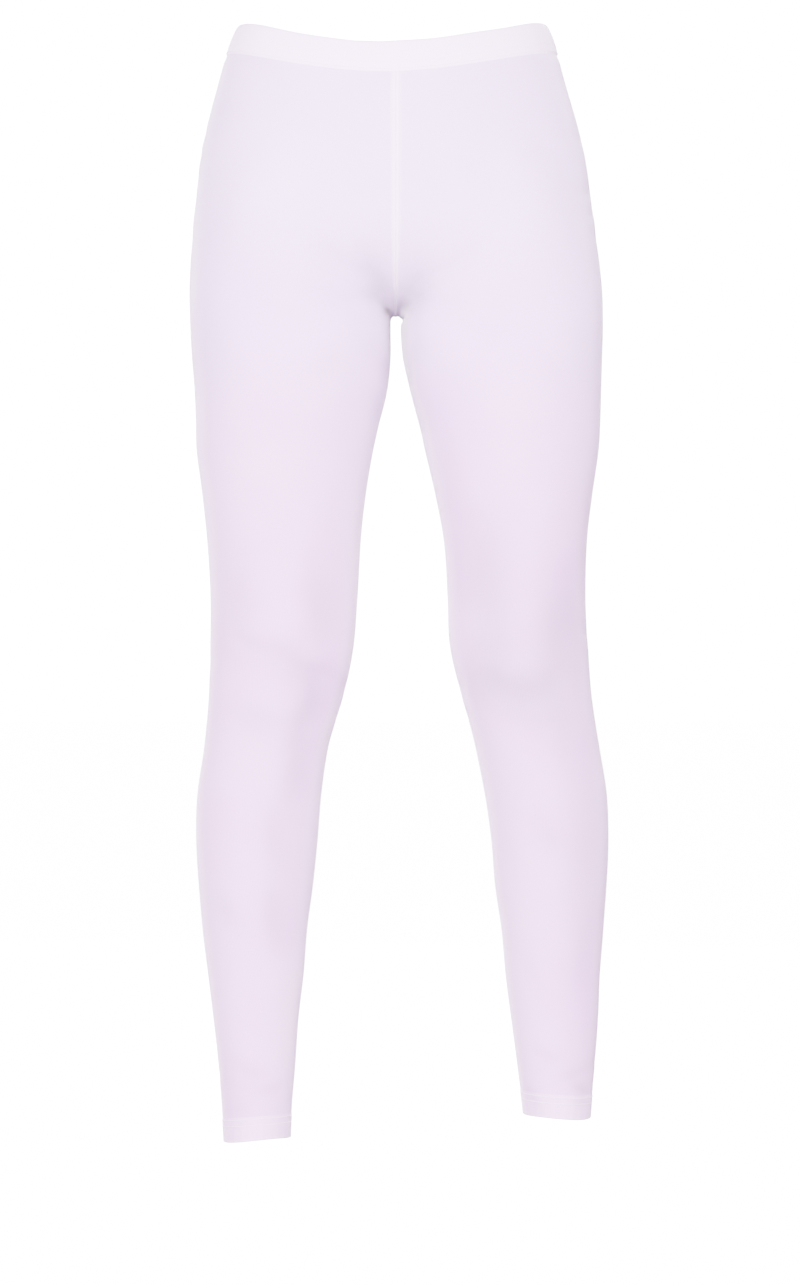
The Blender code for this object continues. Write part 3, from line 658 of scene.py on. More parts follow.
def seam_angles(side, row):
    """The angles at which a row meets the centre-front and the centre-back seam."""
    y = np.linspace(-0.140, 0.150, 581)
    inside = np.nonzero(seam_gaps(side, row, y)[0] < 0)[0]
    low = y[[inside[0], inside[-1]]]
    high = y[[inside[0] - 1, inside[-1] + 1]]
    for _ in range(24):
        middle = (low + high) / 2
        gap, angle = seam_gaps(side, row, middle)
        low = np.where(gap < 0, middle, low)
        high = np.where(gap < 0, high, middle)
    return angle


def find_fork(side):
    """The lowest row that still reaches the seam plane, and the angle at which it does."""
    y = np.linspace(-0.070, 0.070, 281)
    low, high = FORK_BOUNDS
    for _ in range(24):
        middle = (low + high) / 2
        gaps, angles = seam_gaps(side, make_row(side, FORK_OUTER * MM, middle), y)
        if gaps.min() < 0:
            high = middle
        else:
            low = middle
    return low, float(angles[int(np.argmin(gaps))])


def places_between(counts):
    """Places after each row of a table up to the next, as many as the counts say."""
    return np.concatenate([k + np.arange(1, count + 1) / count for k, count in enumerate(counts)])


def seat_shares():
    """The rows above the fork, as many as the cloth's folds need."""
    outer, seam, keep = np.array(SEAT_ROWS).T
    waist_to_fork = (BAND_TOP - BAND_HEIGHT) - FORK_OUTER * MM
    counts = np.ceil(-np.diff(outer) * waist_to_fork / ROW_SPACING).astype(int)
    # The lowest rows lie close together outside but far apart along the level seam.
    counts[-5:] = FORK_SUB_ROWS
    places = np.concatenate([[0.0], places_between(counts)])
    at = np.arange(len(outer), dtype=float)
    fine_seam = smooth_through(at, np.sqrt(seam), places) ** 2
    return smooth_through(at, outer, places), fine_seam, smooth_through(at, keep, places)


def fork_steps():
    """The rows just below the fork."""
    outer, inseam = np.array(FORK_ROWS).T * MM
    places = places_between(np.ceil(np.diff(outer) / ROW_SPACING).astype(int))
    at = np.arange(len(outer), dtype=float)
    return smooth_through(at, outer, places), smooth_through(at, inseam, places), places / at[-1]


def column_places(total):
    """Distances along a row of its columns: close together beside the seam."""
    last = NEAR_SEAM[-1]
    evenly = np.linspace(last, total - last, LEG_COLUMNS - 2 * len(NEAR_SEAM) + 2)[1:-1]
    return np.concatenate([NEAR_SEAM, evenly, (total - NEAR_SEAM)[::-1]])


def respace(points, closed):
    """A row's points moved to the columns, along a smooth curve through them."""
    along = distances(points)
    total = along[-1]
    if closed:
        points = np.concatenate([points[-3:-1], points, points[1:3]])
        along = np.concatenate([along[-3:-1] - total, along, along[1:3] + total])
    places = column_places(total)
    return hermite(along, points, central_slopes(along, points), places), places


def leg_rows(side):
    """Points of a leg's cloth on the form, row by row, and each one's distance along its row."""
    fork_seam, fork_angle = find_fork(side)
    fork_outer = FORK_OUTER * MM
    waist_seam = BAND_TOP - BAND_HEIGHT - SEAM_GAP
    share = np.linspace(0.0, 1.0, SCAN_ANGLES)
    rows = []
    for outer_share, seam_share, keep in zip(*seat_shares()):
        outer = fork_outer + (waist_seam - fork_outer) * outer_share
        seam = fork_seam + (waist_seam - fork_seam) * seam_share
        row = make_row(side, outer, seam, keep)
        front, back = seam_angles(side, row) if seam_share > 0 else (fork_angle, fork_angle)
        angles = front + (back - math.tau - front) * share
        rows.append(respace(cast_row(side, row, angles), False))
    open_rows = len(rows)
    for outer_step, inseam_step, part in zip(*fork_steps()):
        outer = fork_outer - outer_step
        inseam = fork_seam - inseam_step
        row = make_row(side, outer, inseam)
        rows.append(respace(cast_row(side, row, fork_angle * (1 - part) - math.tau * share), True))
    inner_end, outer_end, _ = HEMS[side]
    low_end = (inner_end + outer_end) / 2 * MM + HEM_HEIGHT
    count = math.ceil((outer - low_end) / ROW_SPACING)
    for down in np.arange(1, count + 1) / count:
        # Only the last fifth of the rows levels out to the hem.
        level = max(0.0, 1 - (1 - down) * 5) ** 2
        row_outer = outer + (low_end - outer) * down
        row_inseam = inseam + (low_end - inseam) * down
        row = make_row(side, row_outer, row_inseam, 0.0, level)
        rows.append(respace(cast_row(side, row, -math.tau * share), True))
    grid, along = (np.array(values) for values in zip(*rows))
    return grid, along, open_rows


# ---- folds, creases and seams in the surface ----
# How squarely the cloth must face a fold's side for the fold to show in full, how far off its
# ridge stands, in half widths, and how much wider than the fold its painted shade reaches.
SQUARE_ON = 0.55
RIDGE_PLACE = 1.7
PAINTED_SHADE_REACH = 1.3
PAINTED_SHADE_MARGIN = 0.003
# Folds flatten out over this height above the stitched hems, by this much.
FLATTEN_FROM = -0.850
FLATTEN_OVER = 0.03
FLATTEN_BY = 0.6


def fold_relief(points, across):
    """How far the folds move each point out, and their painted shade, or painted light below zero."""
    relief = np.zeros(points.shape[:-1])
    painted_shade_and_light = np.zeros(points.shape[:-1])
    for facing, leg, folds in SIDES:
        turned = np.clip(across @ np.array(facing, dtype=float) / SQUARE_ON, 0.0, 1.0)
        if leg:
            turned = turned * (leg * points[..., 0] > 0)
        level = points[..., 1 if leg else 0]
        for *lengths, lip, shade in folds:
            from_a, from_z, to_a, to_z, bow, width, depth = np.array(lengths) * MM
            run_a = to_a - from_a
            run_z = to_z - from_z
            length = math.hypot(run_a, run_z)
            ahead_a = level - from_a
            ahead_z = points[..., 2] - from_z
            along = (ahead_a * run_a + ahead_z * run_z) / length**2
            part = np.clip(along, 0.0, 1.0)
            past = (along - part) * length
            aside = (ahead_a * run_z - ahead_z * run_a) / length * math.copysign(1, run_a)
            aside = aside - bow * np.sin(math.pi * part)
            ends = np.sin(math.pi * (0.12 + 0.76 * part)) * bell(past / width) * turned
            relief -= depth * ends * (bell(aside / width) - lip * bell(aside / width - RIDGE_PLACE))
            # Painted shade in and beside the fold; where the shade is below zero it pales the cloth as
            # painted light.
            soft = width * PAINTED_SHADE_REACH + min(PAINTED_SHADE_MARGIN, width * 0.6)
            spread = np.sin(math.pi * (0.15 + 0.7 * part)) * bell(past / soft) * turned
            painted_shade_and_light += shade * (1 - painted_shade_and_light) * spread * bell(aside / soft)
    return relief, painted_shade_and_light


def soft_unevenness(points):
    """Broad, very shallow swells of worn stretch cloth."""
    x, y, z = np.moveaxis(points * 1000, -1, 0)
    swell = np.sin(x / 23 + 1.3 * np.sin(z / 47) + 0.7) * np.sin(z / 31 + 0.9 * np.sin(y / 37))
    finer = np.sin(x / 9.5 + y / 13 + 2.1) * np.sin(z / 14 + 1.7 * np.sin(x / 29))
    return 0.00018 * swell + 0.00006 * finer


def ribs(turn):
    """Uneven ribs round the waist, as elastic draws the jersey up."""
    fine = np.sin(turn * 74 + 2.2 * np.sin(turn * 9) + 0.8)
    return fine + 0.6 * np.sin(turn * 47 + 1.9 * np.sin(turn * 5))


def gathers(points):
    """Small puckers where the elastic holds the jersey, dying out below the band."""
    x, y, z = np.moveaxis(points, -1, 0)
    below = np.maximum(band_end(x, y) - z, 0.0)
    turn = np.arctan2(x, -y)
    strength = 0.55 + 0.45 * np.sin(turn * 6 + 0.4)
    return 0.00011 * ribs(turn) * strength * bell(below / 0.009)


def relief_of(points, across):
    """How far the cloth stands out of the form at each point, and its painted shade and light."""
    end = 1 - FLATTEN_BY * np.clip((FLATTEN_FROM - points[..., 2]) / FLATTEN_OVER, 0.0, 1.0)
    folds, painted_shade_and_light = fold_relief(points, across)
    return (folds + soft_unevenness(points)) * end + gathers(points), painted_shade_and_light * end


def seam_profile(seam, distance):
    """Height of the ridge over a seam's allowance, with the stitched valley on the seam line."""
    t = np.clip(distance / seam["half"], 0.0, 1.6)
    ridge = np.exp(-(((t - 0.42) / 0.42) ** 4))
    return seam["raise"] * ridge - seam["valley"] * bell(distance / 0.0005)


def seam_cover(distance, half):
    """How much of the cloth lies in two layers over an allowance, at a distance from its seam."""
    return np.clip(1.5 - distance / half, 0.0, 1.0)


def painted_fork_shade(points):
    """Painted shade in the hollow at the fork, where four seams meet: the seam's pale tone fades."""
    reach = np.linalg.norm((points - np.array(FORK_HOLLOW)) / np.array(FORK_HOLLOW_SIZE), axis=-1)
    return 1 - FORK_PAINTED_SHADE * bell(reach)


# ---- building the pieces ----
SHARP_ANGLE = math.radians(50)


def add_object(name, data):
    made = bpy.data.objects.new(name, data)
    bpy.context.scene.collection.objects.link(made)
    return made


def add_mesh(name, verts, faces, uv=None, attributes=None):
    mesh = bpy.data.meshes.new(name)
    mesh.from_pydata(np.asarray(verts).tolist(), [], np.asarray(faces).tolist())
    if uv is not None:
        layer = mesh.uv_layers.new(name="cloth")
        layer.data.foreach_set("uv", np.asarray(uv, dtype=np.float32).ravel())
    for title, values in (attributes or {}).items():
        made = mesh.attributes.new(title, "FLOAT", "POINT")
        made.data.foreach_set("value", np.asarray(values, dtype=np.float32).ravel())
    mesh.shade_smooth()
    mesh.set_sharp_from_angle(angle=SHARP_ANGLE)
    return add_object(name, mesh)


def between(line, other):
    """Faces that join two lines of corners, or the neighbouring lines of two grids."""
    return np.stack([line[:-1], other[:-1], other[1:], line[1:]], axis=-1).reshape(-1, 4)


def joined(parts):
    """Several meshes' points and faces as those of one mesh."""
    starts = np.cumsum([0] + [len(verts) for verts, faces in parts])
    faces = [corners + start for (verts, corners), start in zip(parts, starts)]
    return np.concatenate([verts for verts, corners in parts]), np.concatenate(faces)


def leg_surface(side):
    """A leg's outer and inner faces as grids, with what the material needs at each point."""
    grid, along, open_rows = leg_rows(side)
    rows, columns = grid.shape[:2]
    across = outward(grid)
    across[[0, -1], :, 2] = 0.0
    across[:open_rows, [0, -1], 0] = 0.0
    across = unit(across)
    total = along[:, -1:]
    from_seam = np.minimum(along, total - along)
    # The centre seam passes into the inseam over 24 rows round the fork.
    inseam_part = np.clip((np.arange(rows) - open_rows + 12) / 24.0, 0.0, 1.0)[:, None]
    centre_part = 1 - inseam_part
    ridge = seam_profile(CENTRE_SEAM, from_seam) * centre_part
    ridge = ridge + seam_profile(INSEAM, from_seam) * inseam_part
    relief, painted_shade_and_light = relief_of(grid, across)
    lift = relief + ridge
    outer = grid + across * lift[..., None]
    inner = grid + across * (lift - ridge * 0.5 - JERSEY_THICK)[..., None]
    half = CENTRE_SEAM["half"] * centre_part + INSEAM["half"] * inseam_part
    # Pale where two layers lie over a seam, less so in the painted shade at the fork, and pale too as painted
    # light where a fold's shade is below zero.
    doubled_and_painted_light = np.maximum(seam_cover(from_seam, half) * painted_fork_shade(grid), -painted_shade_and_light)
    steps = np.linalg.norm(np.diff(outer, axis=0), axis=-1).mean(axis=1)
    down = np.concatenate([[0.0], np.cumsum(steps)])
    return {
        "outer": outer,
        "inner": inner,
        "inward": -across,
        "open_rows": open_rows,
        "shades": {"doubled_and_painted_light": doubled_and_painted_light, "painted_shade_and_light": np.maximum(painted_shade_and_light, 0.0)},
        "uv": np.stack([along - total / 2, -np.repeat(down[:, None], columns, axis=1)], axis=-1),
    }


def add_leg(name, side, surface):
    outer, inner, open_rows, uv = (surface[key] for key in ("outer", "inner", "open_rows", "uv"))
    index = np.arange(outer[..., 0].size).reshape(outer.shape[:2])
    shift = index.size
    skin = between(index[:, :-1], index[:, 1:])
    faces = [skin, skin[:, ::-1] + shift]
    for line in (index[0], index[-1, ::-1], index[:open_rows, 0][::-1], index[:open_rows, -1]):
        faces.append(between(line, line + shift))
    corners = np.concatenate(faces)
    if side == RIGHT:
        corners = corners[:, ::-1]
    # Below the fork the last column lies on the first, so it uses the same points.
    point = index.copy()
    point[open_rows - 1 :, -1] = point[open_rows - 1 :, 0]
    used, renumber = np.unique(np.stack([point, point + shift]).ravel(), return_inverse=True)
    verts = np.concatenate([outer.reshape(-1, 3), inner.reshape(-1, 3)])[used]
    shades = {title: np.tile(values.ravel(), 2)[used] for title, values in surface["shades"].items()}
    shades["inside"] = used >= shift
    corner_uv = np.tile(uv.reshape(-1, 2), (2, 1))[corners]
    return add_mesh(name, verts, renumber[corners], corner_uv, shades)


def seam_strips(side, surface):
    """Where the overlocked seam allowances lie: the inner face, its direction in, and its uv."""
    open_rows = surface["open_rows"]
    above = slice(0, open_rows)
    below = slice(open_rows - 1, None)
    front = slice(0, STRIP_COLUMNS)
    back = slice(-1, -1 - STRIP_COLUMNS, -1)
    places = [(below, back)]
    if side == LEFT:
        places += [(above, front), (above, back)]
    return [[surface[key][place] for key in ("inner", "inward", "uv")] for place in places]


def add_strips(name, strips):
    """Seam allowances as closed strips lying just off the inner face, thinner at the cut edge."""
    parts = []
    corner_uv = []
    for face, inward, uv in strips:
        columns = face.shape[1]
        from_edge = np.arange(columns)[::-1]
        thick = STRIP_THICK * np.minimum(1.0, 0.5 + 0.25 * from_edge)
        low = face + inward * STRIP_GAP
        high = low + inward * thick[:, None]
        verts = np.concatenate([low, high[:, ::-1]], axis=1)
        index = np.arange(verts[..., 0].size).reshape(verts.shape[:2])
        caps = [between(line[::-1][:columns], line[:columns]) for line in (index[0], index[-1])]
        corners = np.concatenate([between(index, np.roll(index, -1, axis=1)), *caps])
        parts.append((verts.reshape(-1, 3), corners))
        corner_uv.append(np.concatenate([uv, uv[:, ::-1]], axis=1).reshape(-1, 2)[corners])
    verts, faces = joined(parts)
    piece = add_mesh(name, verts, faces, np.concatenate(corner_uv), {"inside": np.ones(len(verts))})
    loose = bmesh.new()
    loose.from_mesh(piece.data)
    bmesh.ops.recalc_face_normals(loose, faces=loose.faces)
    loose.to_mesh(piece.data)
    loose.free()
    return piece


def overlock_paths(strip):
    """The looper thread that zigzags over a strip to its cut edge, and the needle thread."""
    face, inward, _ = strip
    over = STRIP_GAP + STRIP_THICK + OVERLOCK_RADIUS * 0.6
    needle = face[:, NEEDLE_COLUMN] + inward[:, NEEDLE_COLUMN] * over
    edge = face[:, -1] + inward[:, -1] * (over - STRIP_THICK * 0.5)
    needle_along = distances(needle)
    edge_along = distances(edge)
    count = 2 * int(edge_along[-1] / OVERLOCK_PITCH)
    share = (np.arange(count) + 0.5) / count
    near = read_at(share * needle_along[-1], needle_along, needle)
    out = read_at(share * needle_along[-1], needle_along, inward[:, NEEDLE_COLUMN])
    far = read_at(share * edge_along[-1], edge_along, edge)
    zigzag = np.where(np.arange(count)[:, None] % 2 == 0, near, far)
    return [(zigzag, out), (near, out)]


def tube(points, normal, radius, sides):
    """Thread along each line of points: rings of corners, and the faces between them."""
    tangent = unit(np.gradient(points, axis=-2))
    beside = unit(np.cross(tangent, normal))
    upward = np.cross(beside, tangent)
    turn = np.arange(sides)[:, None] * math.tau / sides
    circle = beside[..., None, :] * np.cos(turn) + upward[..., None, :] * np.sin(turn)
    verts = points[..., None, :] + circle * np.asarray(radius)[..., None, None]
    index = np.arange(verts[..., 0].size).reshape(-1, points.shape[-2], sides)
    faces = [between(rings, np.roll(rings, -1, axis=-1)) for rings in index]
    return verts.reshape(-1, 3), np.concatenate(faces)


def add_overlock(name, strips):
    """The overlocking threads of a leg's seam allowances."""
    parts = []
    for strip in strips:
        for points, out in overlock_paths(strip):
            radius = np.full(len(points), OVERLOCK_RADIUS)
            radius[[0, -1]] = THREAD_END_RADIUS
            parts.append(tube(points, out, radius, OVERLOCK_SIDES))
    return add_mesh(name, *joined(parts))


def ring_base(centre_x, centre_y, angles, end_at, height):
    """Points on the form round a level ring, at three heights of a band, with its directions."""
    heading = np.stack([np.cos(angles), np.sin(angles), 0 * angles], axis=-1)
    axis = heading * 0 + np.array([float(centre_x), float(centre_y), 0.0])
    rings = [
        settle(axis, heading, lambda x, y: end_at(x, y) + height * share, 5)
        for share in (0.0, 0.5, 1.0)
    ]
    across = outward(rings[1])
    across[..., 2] = 0.0
    return rings, unit(across)


def ring_at(rings, share):
    """A ring at any share of the band's height, on the curve through the three."""
    low, middle, high = rings
    low_part = (1 - share) * (1 - 2 * share)
    return low * low_part + middle * 4 * share * (1 - share) + high * share * (2 * share - 1)


def folded_section(places, total, thick, proud, rows, dome, pinch, pinch_reach, groove, inside):
    """Section of a two-layer strip, out from its seam line, round the fold and back: how far from
    the seam line each station lies, how proud of the form, and how much it shows the seams."""
    section = []
    for place in places:
        needles = groove * sum(bell((place - row) / NEEDLE_GROOVE) for row in rows)
        rise = dome * math.sin(math.pi * place / total) ** 0.7
        section.append((place, proud + rise - pinch * bell(place / pinch_reach) - needles, 1.0))
    half = thick / 2
    for turn in np.linspace(0, math.pi, 9):
        section.append((total - half + math.sin(turn) * half, proud - half + math.cos(turn) * half, 1.0))
    for place in [*places[:0:-2], 0.0]:
        section.append((place, proud - thick, inside))
    return section


def add_ring(name, stations, shades):
    """A closed band from rings of points, each a station round its section."""
    grid = np.array(stations)
    index = np.arange(grid[..., 0].size).reshape(grid.shape[:2])
    above = np.roll(index, -1, axis=0)
    faces = [index, above, np.roll(above, -1, axis=1), np.roll(index, -1, axis=1)]
    spans = []
    for axis in (0, 1):
        steps = np.linalg.norm(np.roll(grid, -1, axis=axis) - grid, axis=-1).mean(axis=1 - axis)
        spans.append(np.concatenate([[0.0], np.cumsum(steps)]))
    up, round_ = spans
    u = np.stack([round_[:-1], round_[:-1], round_[1:], round_[1:]], axis=-1)
    v = np.stack([up[:-1], up[1:], up[1:], up[:-1]], axis=-1)[:, None]
    uv = np.stack(np.broadcast_arrays(u, v), axis=-1)
    return add_mesh(name, grid.reshape(-1, 3), np.stack(faces, axis=-1).reshape(-1, 4), uv, shades)


def add_waistband():
    """Folded casing over elastic: pinched at the seam below, domed, rounded at the fold."""
    angles = np.linspace(0, math.tau, BAND_COLUMNS, endpoint=False) + math.pi / 2
    rings, across = ring_base(BAND_CENTRE_X, 0.0, angles, band_end, BAND_HEIGHT)
    places = [place * MM for place in BAND_STATIONS]
    section = folded_section(places, BAND_HEIGHT, BAND_THICK, BAND_PROUD, BAND_STITCH_ROWS, **BAND_SHAPE)
    stations = []
    doubled_and_painted_light = []
    for height, proud, outside in section:
        base = ring_at(rings, height / BAND_HEIGHT)
        turn = np.arctan2(base[:, 0], -base[:, 1])
        edge = bell(height / 0.010) + 0.55 * bell((BAND_HEIGHT - height) / 0.007)
        ripple = 0.00010 * ribs(turn) * edge
        seam = seam_profile(CENTRE_SEAM, np.abs(base[:, 0])) * 0.8
        wander = 0.00030 * np.sin(turn * 5 + 0.6) + 0.00022 * np.sin(turn * 11 + 1.1)
        point = base + across * (proud + (ripple + seam) * outside)[:, None]
        point[:, 2] += wander * height / BAND_HEIGHT
        stations.append(point)
        doubled_and_painted_light.append(seam_cover(np.abs(base[:, 0]), CENTRE_SEAM["half"]) * outside)
    return add_ring("waistband_casing", stations, {"doubled_and_painted_light": doubled_and_painted_light}), rings, across


def add_hem(name, side):
    """Turned-up hem: two layers of jersey, rounded at the fold below."""
    angles = np.linspace(0, math.tau, HEM_COLUMNS, endpoint=False)[::side]
    centre_x, centre_y = leg_axis(side, HEM_CENTRE_HEIGHT)
    rings, across = ring_base(centre_x, centre_y, angles, lambda x, y: hem_end(side, x, y), HEM_HEIGHT)
    places = [HEM_HEIGHT * k / HEM_STATIONS for k in range(HEM_STATIONS - 1)]
    section = folded_section(places, HEM_HEIGHT, HEM_THICK, HEM_PROUD, HEM_STITCH_ROWS, **HEM_SHAPE)
    stations = []
    shades = {"doubled_and_painted_light": [], "painted_shade_and_light": [], "inside": []}
    for below, proud, outside in section:
        height = HEM_HEIGHT - below
        low = below / HEM_HEIGHT
        base = ring_at(rings, 1 - low)
        ahead = base[:, 1] - centre_y
        turn = np.arctan2(ahead, base[:, 0] - centre_x)
        roping = 0.00012 * np.sin(turn * 31 + 2.0 * np.sin(turn * 4)) * (0.3 + 0.7 * low)
        relief, painted_shade_and_light = relief_of(base, across)
        from_inseam = np.where(side * (base[:, 0] - centre_x) < 0, np.abs(ahead), 1.0)
        seam = seam_profile(INSEAM, from_inseam) * outside
        point = base + across * (proud + roping + relief + seam)[:, None]
        point[:, 2] += 0.00035 * np.sin(turn * 3 + side) * low
        stations.append(point)
        # Pale where the hem lies over the inseam's allowance, and a painted highlight along its folded lower
        # edge.
        pale_layers_and_edge_highlight = np.maximum(seam_cover(from_inseam, INSEAM["half"]), bell(height / 0.0011))
        shades["doubled_and_painted_light"].append(pale_layers_and_edge_highlight * outside)
        shades["painted_shade_and_light"].append(np.maximum(painted_shade_and_light, 0.0) * outside)
        shades["inside"].append(0 * painted_shade_and_light + (outside < 1))
    return add_ring(name, stations, shades), rings, across


# ---- sewing ----
def add_threads(name, lines):
    """All the needle threads of one seam as one piece; lines hold points, directions and height.
    Each stitch is a short thread that dives in at both ends."""
    parts = []
    for points, across, raised in lines:
        loop, out = (np.concatenate([line, line[:1]]) for line in (points, across))
        along = distances(loop)
        count = int(round(along[-1] / STITCH_PITCH))
        starts = np.arange(count) * (along[-1] / count)
        length = STITCH_LENGTH * (1 + 0.06 * np.sin(starts * 911.0))
        places = starts[:, None] + STITCH_SHARES * length[:, None]
        normal = unit(read_at(places, along, out))
        spots = read_at(places, along, loop) + normal * (raised + STITCH_RISE)[:, None]
        parts.append(tube(spots, normal, THREAD_RADIUS, THREAD_SIDES))
    return add_mesh(name, *joined(parts))


# ---- materials ----
def linear(hex_colour):
    """sRGB hex to the linear colour that a shader takes."""
    channels = [int(hex_colour[k : k + 2], 16) / 255 for k in (1, 3, 5)]
    return (*(c / 12.92 if c <= 0.04045 else ((c + 0.055) / 1.055) ** 2.4 for c in channels), 1.0)


def add_node(tree, kind, settings=None, inputs=None):
    """One node: its settings by name, and its inputs as values, or as nodes or sockets to link."""
    node = tree.nodes.new(kind)
    for key, value in (settings or {}).items():
        setattr(node, key, value)
    for key, value in (inputs or {}).items():
        if isinstance(value, bpy.types.Node):
            value = value.outputs[0]
        if isinstance(value, bpy.types.NodeSocket):
            tree.links.new(value, node.inputs[key])
        else:
            node.inputs[key].default_value = value
    return node


def new_material(name):
    """An empty material and its tree."""
    material = bpy.data.materials.new(name)
    material.use_nodes = True
    material.node_tree.nodes.clear()
    return material, material.node_tree


# Each jersey's knit depth and roughness, and its tones as sRGB: over the seat, down the legs,
# pale where two layers lie over a seam and as painted light, the painted shade of folds and
# creases, and on its purl side.
JERSEYS = {
    "bleached_single_jersey": (0.00016, 0.86, "#DED7ED", "#DAB4DB", "#FCFAFE", "#5E6C58", "#E2E0E1"),
    "doubled_band_jersey": (0.00012, 0.82, "#FCFBFE", "#FCFBFE", "#FEFDFF", "#DCD2E0", "#EDEAF0"),
    "doubled_hem_jersey": (0.00014, 0.84, "#EBE4F0", "#E4CAE6", "#FCFAFE", "#6C7868", "#E2E0E1"),
}
# How far the last three tones go where their attribute is 1, and the heights between which the
# lilac cast comes in.
# The fold tone is painted shade, and the pale tone is also painted light.
TONE_PARTS = {"doubled_and_painted_light": 0.90, "painted_shade_and_light": 0.55, "inside": 0.85}
LILAC_STARTS = -0.11
LILAC_FULL = -0.41
FIBRE_BLOOM = "#EEFFEA"

# Single jersey has 0.6 mm wales and 0.45 mm courses; drawn twice as coarse so that they show.
WALE = 0.0013
COURSE = 0.0010

# The knit: rounded wales, crossed by the slanted legs of each stitch, and a fuzz of fibre. Each
# step is named, and works on the cloth's u and v, the yarn, the steps before it, or numbers.
KNIT_STEPS = (
    ("wales", "DIVIDE", "u", WALE),
    ("part", "FRACT", "wales"),
    ("centred", "SUBTRACT", "part", 0.5),
    ("aside", "ABSOLUTE", "centred"),
    ("courses", "DIVIDE", "v", COURSE),
    ("slanted", "MULTIPLY_ADD", "aside", 1.5, "courses"),
    ("turned", "MULTIPLY", "slanted", math.tau),
    ("stitch_leg", "SINE", "turned"),
    ("across", "MULTIPLY", "aside", math.tau),
    ("wale", "COSINE", "across"),
    ("ribbed", "MULTIPLY", "wale", -0.5),
    ("loops", "MULTIPLY_ADD", "stitch_leg", 0.35, "ribbed"),
    ("fuzz", "MULTIPLY_ADD", "yarn", 0.5, "loops"),
)


def jersey_material(name):
    """Cotton and elastane single jersey, bleached: matt, very fine wales with painted shade in their
    grooves, a soft bloom of fibre at grazing light, a lilac cast that deepens down the legs where one
    layer is stretched thin, nearly white where two layers lie over a seam and where light is painted
    in, painted shade in folds and creases, and greyer on its purl side within."""
    material, tree = new_material(name)
    knit_depth, roughness, *tones = JERSEYS[name]
    upper, lower, *part_tones = (linear(tone) for tone in tones)
    doubled_and_painted_light = part_tones[0]
    cloth = add_node(tree, "ShaderNodeUVMap", {"uv_map": "cloth"})
    yarn = add_node(tree, "ShaderNodeTexNoise", inputs={"Vector": cloth, "Scale": 900.0, "Detail": 3.0})
    split = add_node(tree, "ShaderNodeSeparateXYZ", inputs={0: cloth})
    made = {"u": split.outputs[0], "v": split.outputs[1], "yarn": yarn}
    for title, operation, *sources in KNIT_STEPS:
        inputs = {k: made.get(source, source) for k, source in enumerate(sources)}
        made[title] = add_node(tree, "ShaderNodeMath", {"operation": operation}, inputs)
    place = add_node(tree, "ShaderNodeTexCoord").outputs["Object"]
    split = add_node(tree, "ShaderNodeSeparateXYZ", inputs={0: place})
    fall = {"Value": split.outputs[2], "From Min": LILAC_STARTS, "From Max": LILAC_FULL}
    lilac = add_node(tree, "ShaderNodeMapRange", {"interpolation_type": "SMOOTHSTEP"}, fall)
    # Soft clouding of the bleach, flecks of uneven yarn, and painted shade in the grooves between wales.
    clouds = add_node(tree, "ShaderNodeTexNoise", inputs={"Vector": place, "Scale": 9.0, "Detail": 2.0})
    ranges = []
    for source, low, high, to_low, to_high in (
        (clouds, 0.3, 0.7, 0.0, 0.22),
        (yarn, 0.25, 0.75, 0.975, 1.015),
        (made["loops"], -0.85, 0.85, 0.965, 1.01),
    ):
        spans = {"Value": source, "From Min": low, "From Max": high, "To Min": to_low, "To Max": to_high}
        ranges.append(add_node(tree, "ShaderNodeMapRange", inputs=spans))
    mottle, fleck, groove_shade = ranges
    layers = [(lilac, lower), (mottle, doubled_and_painted_light)]
    for (title, part), tone in zip(TONE_PARTS.items(), part_tones):
        there = add_node(tree, "ShaderNodeAttribute", {"attribute_name": title}).outputs["Fac"]
        share = add_node(tree, "ShaderNodeMath", {"operation": "MULTIPLY"}, {0: there, 1: part})
        layers.append((share, tone))
    colour = upper
    for share, tone in layers:
        mix = {0: share, 6: colour, 7: tone}
        colour = add_node(tree, "ShaderNodeMix", {"data_type": "RGBA"}, mix).outputs[2]
    shade = add_node(tree, "ShaderNodeMath", {"operation": "MULTIPLY"}, {0: fleck, 1: groove_shade})
    grey = add_node(tree, "ShaderNodeCombineXYZ", inputs={0: shade, 1: shade, 2: shade})
    multiply = {"data_type": "RGBA", "blend_type": "MULTIPLY"}
    colour = add_node(tree, "ShaderNodeMix", multiply, {0: 1.0, 6: colour, 7: grey}).outputs[2]
    relief = {"Strength": 0.6, "Distance": knit_depth, "Height": made["fuzz"]}
    bump = add_node(tree, "ShaderNodeBump", inputs=relief)
    shader = {
        "Base Color": colour,
        "Normal": bump,
        "Roughness": roughness,
        "IOR": 1.53,
        "Specular IOR Level": 0.25,
        "Sheen Weight": 0.9,
        "Sheen Roughness": 0.35,
        "Sheen Tint": linear(FIBRE_BLOOM),
    }
    surface = add_node(tree, "ShaderNodeBsdfPrincipled", inputs=shader)
    add_node(tree, "ShaderNodeOutputMaterial", inputs={"Surface": surface})
    return material


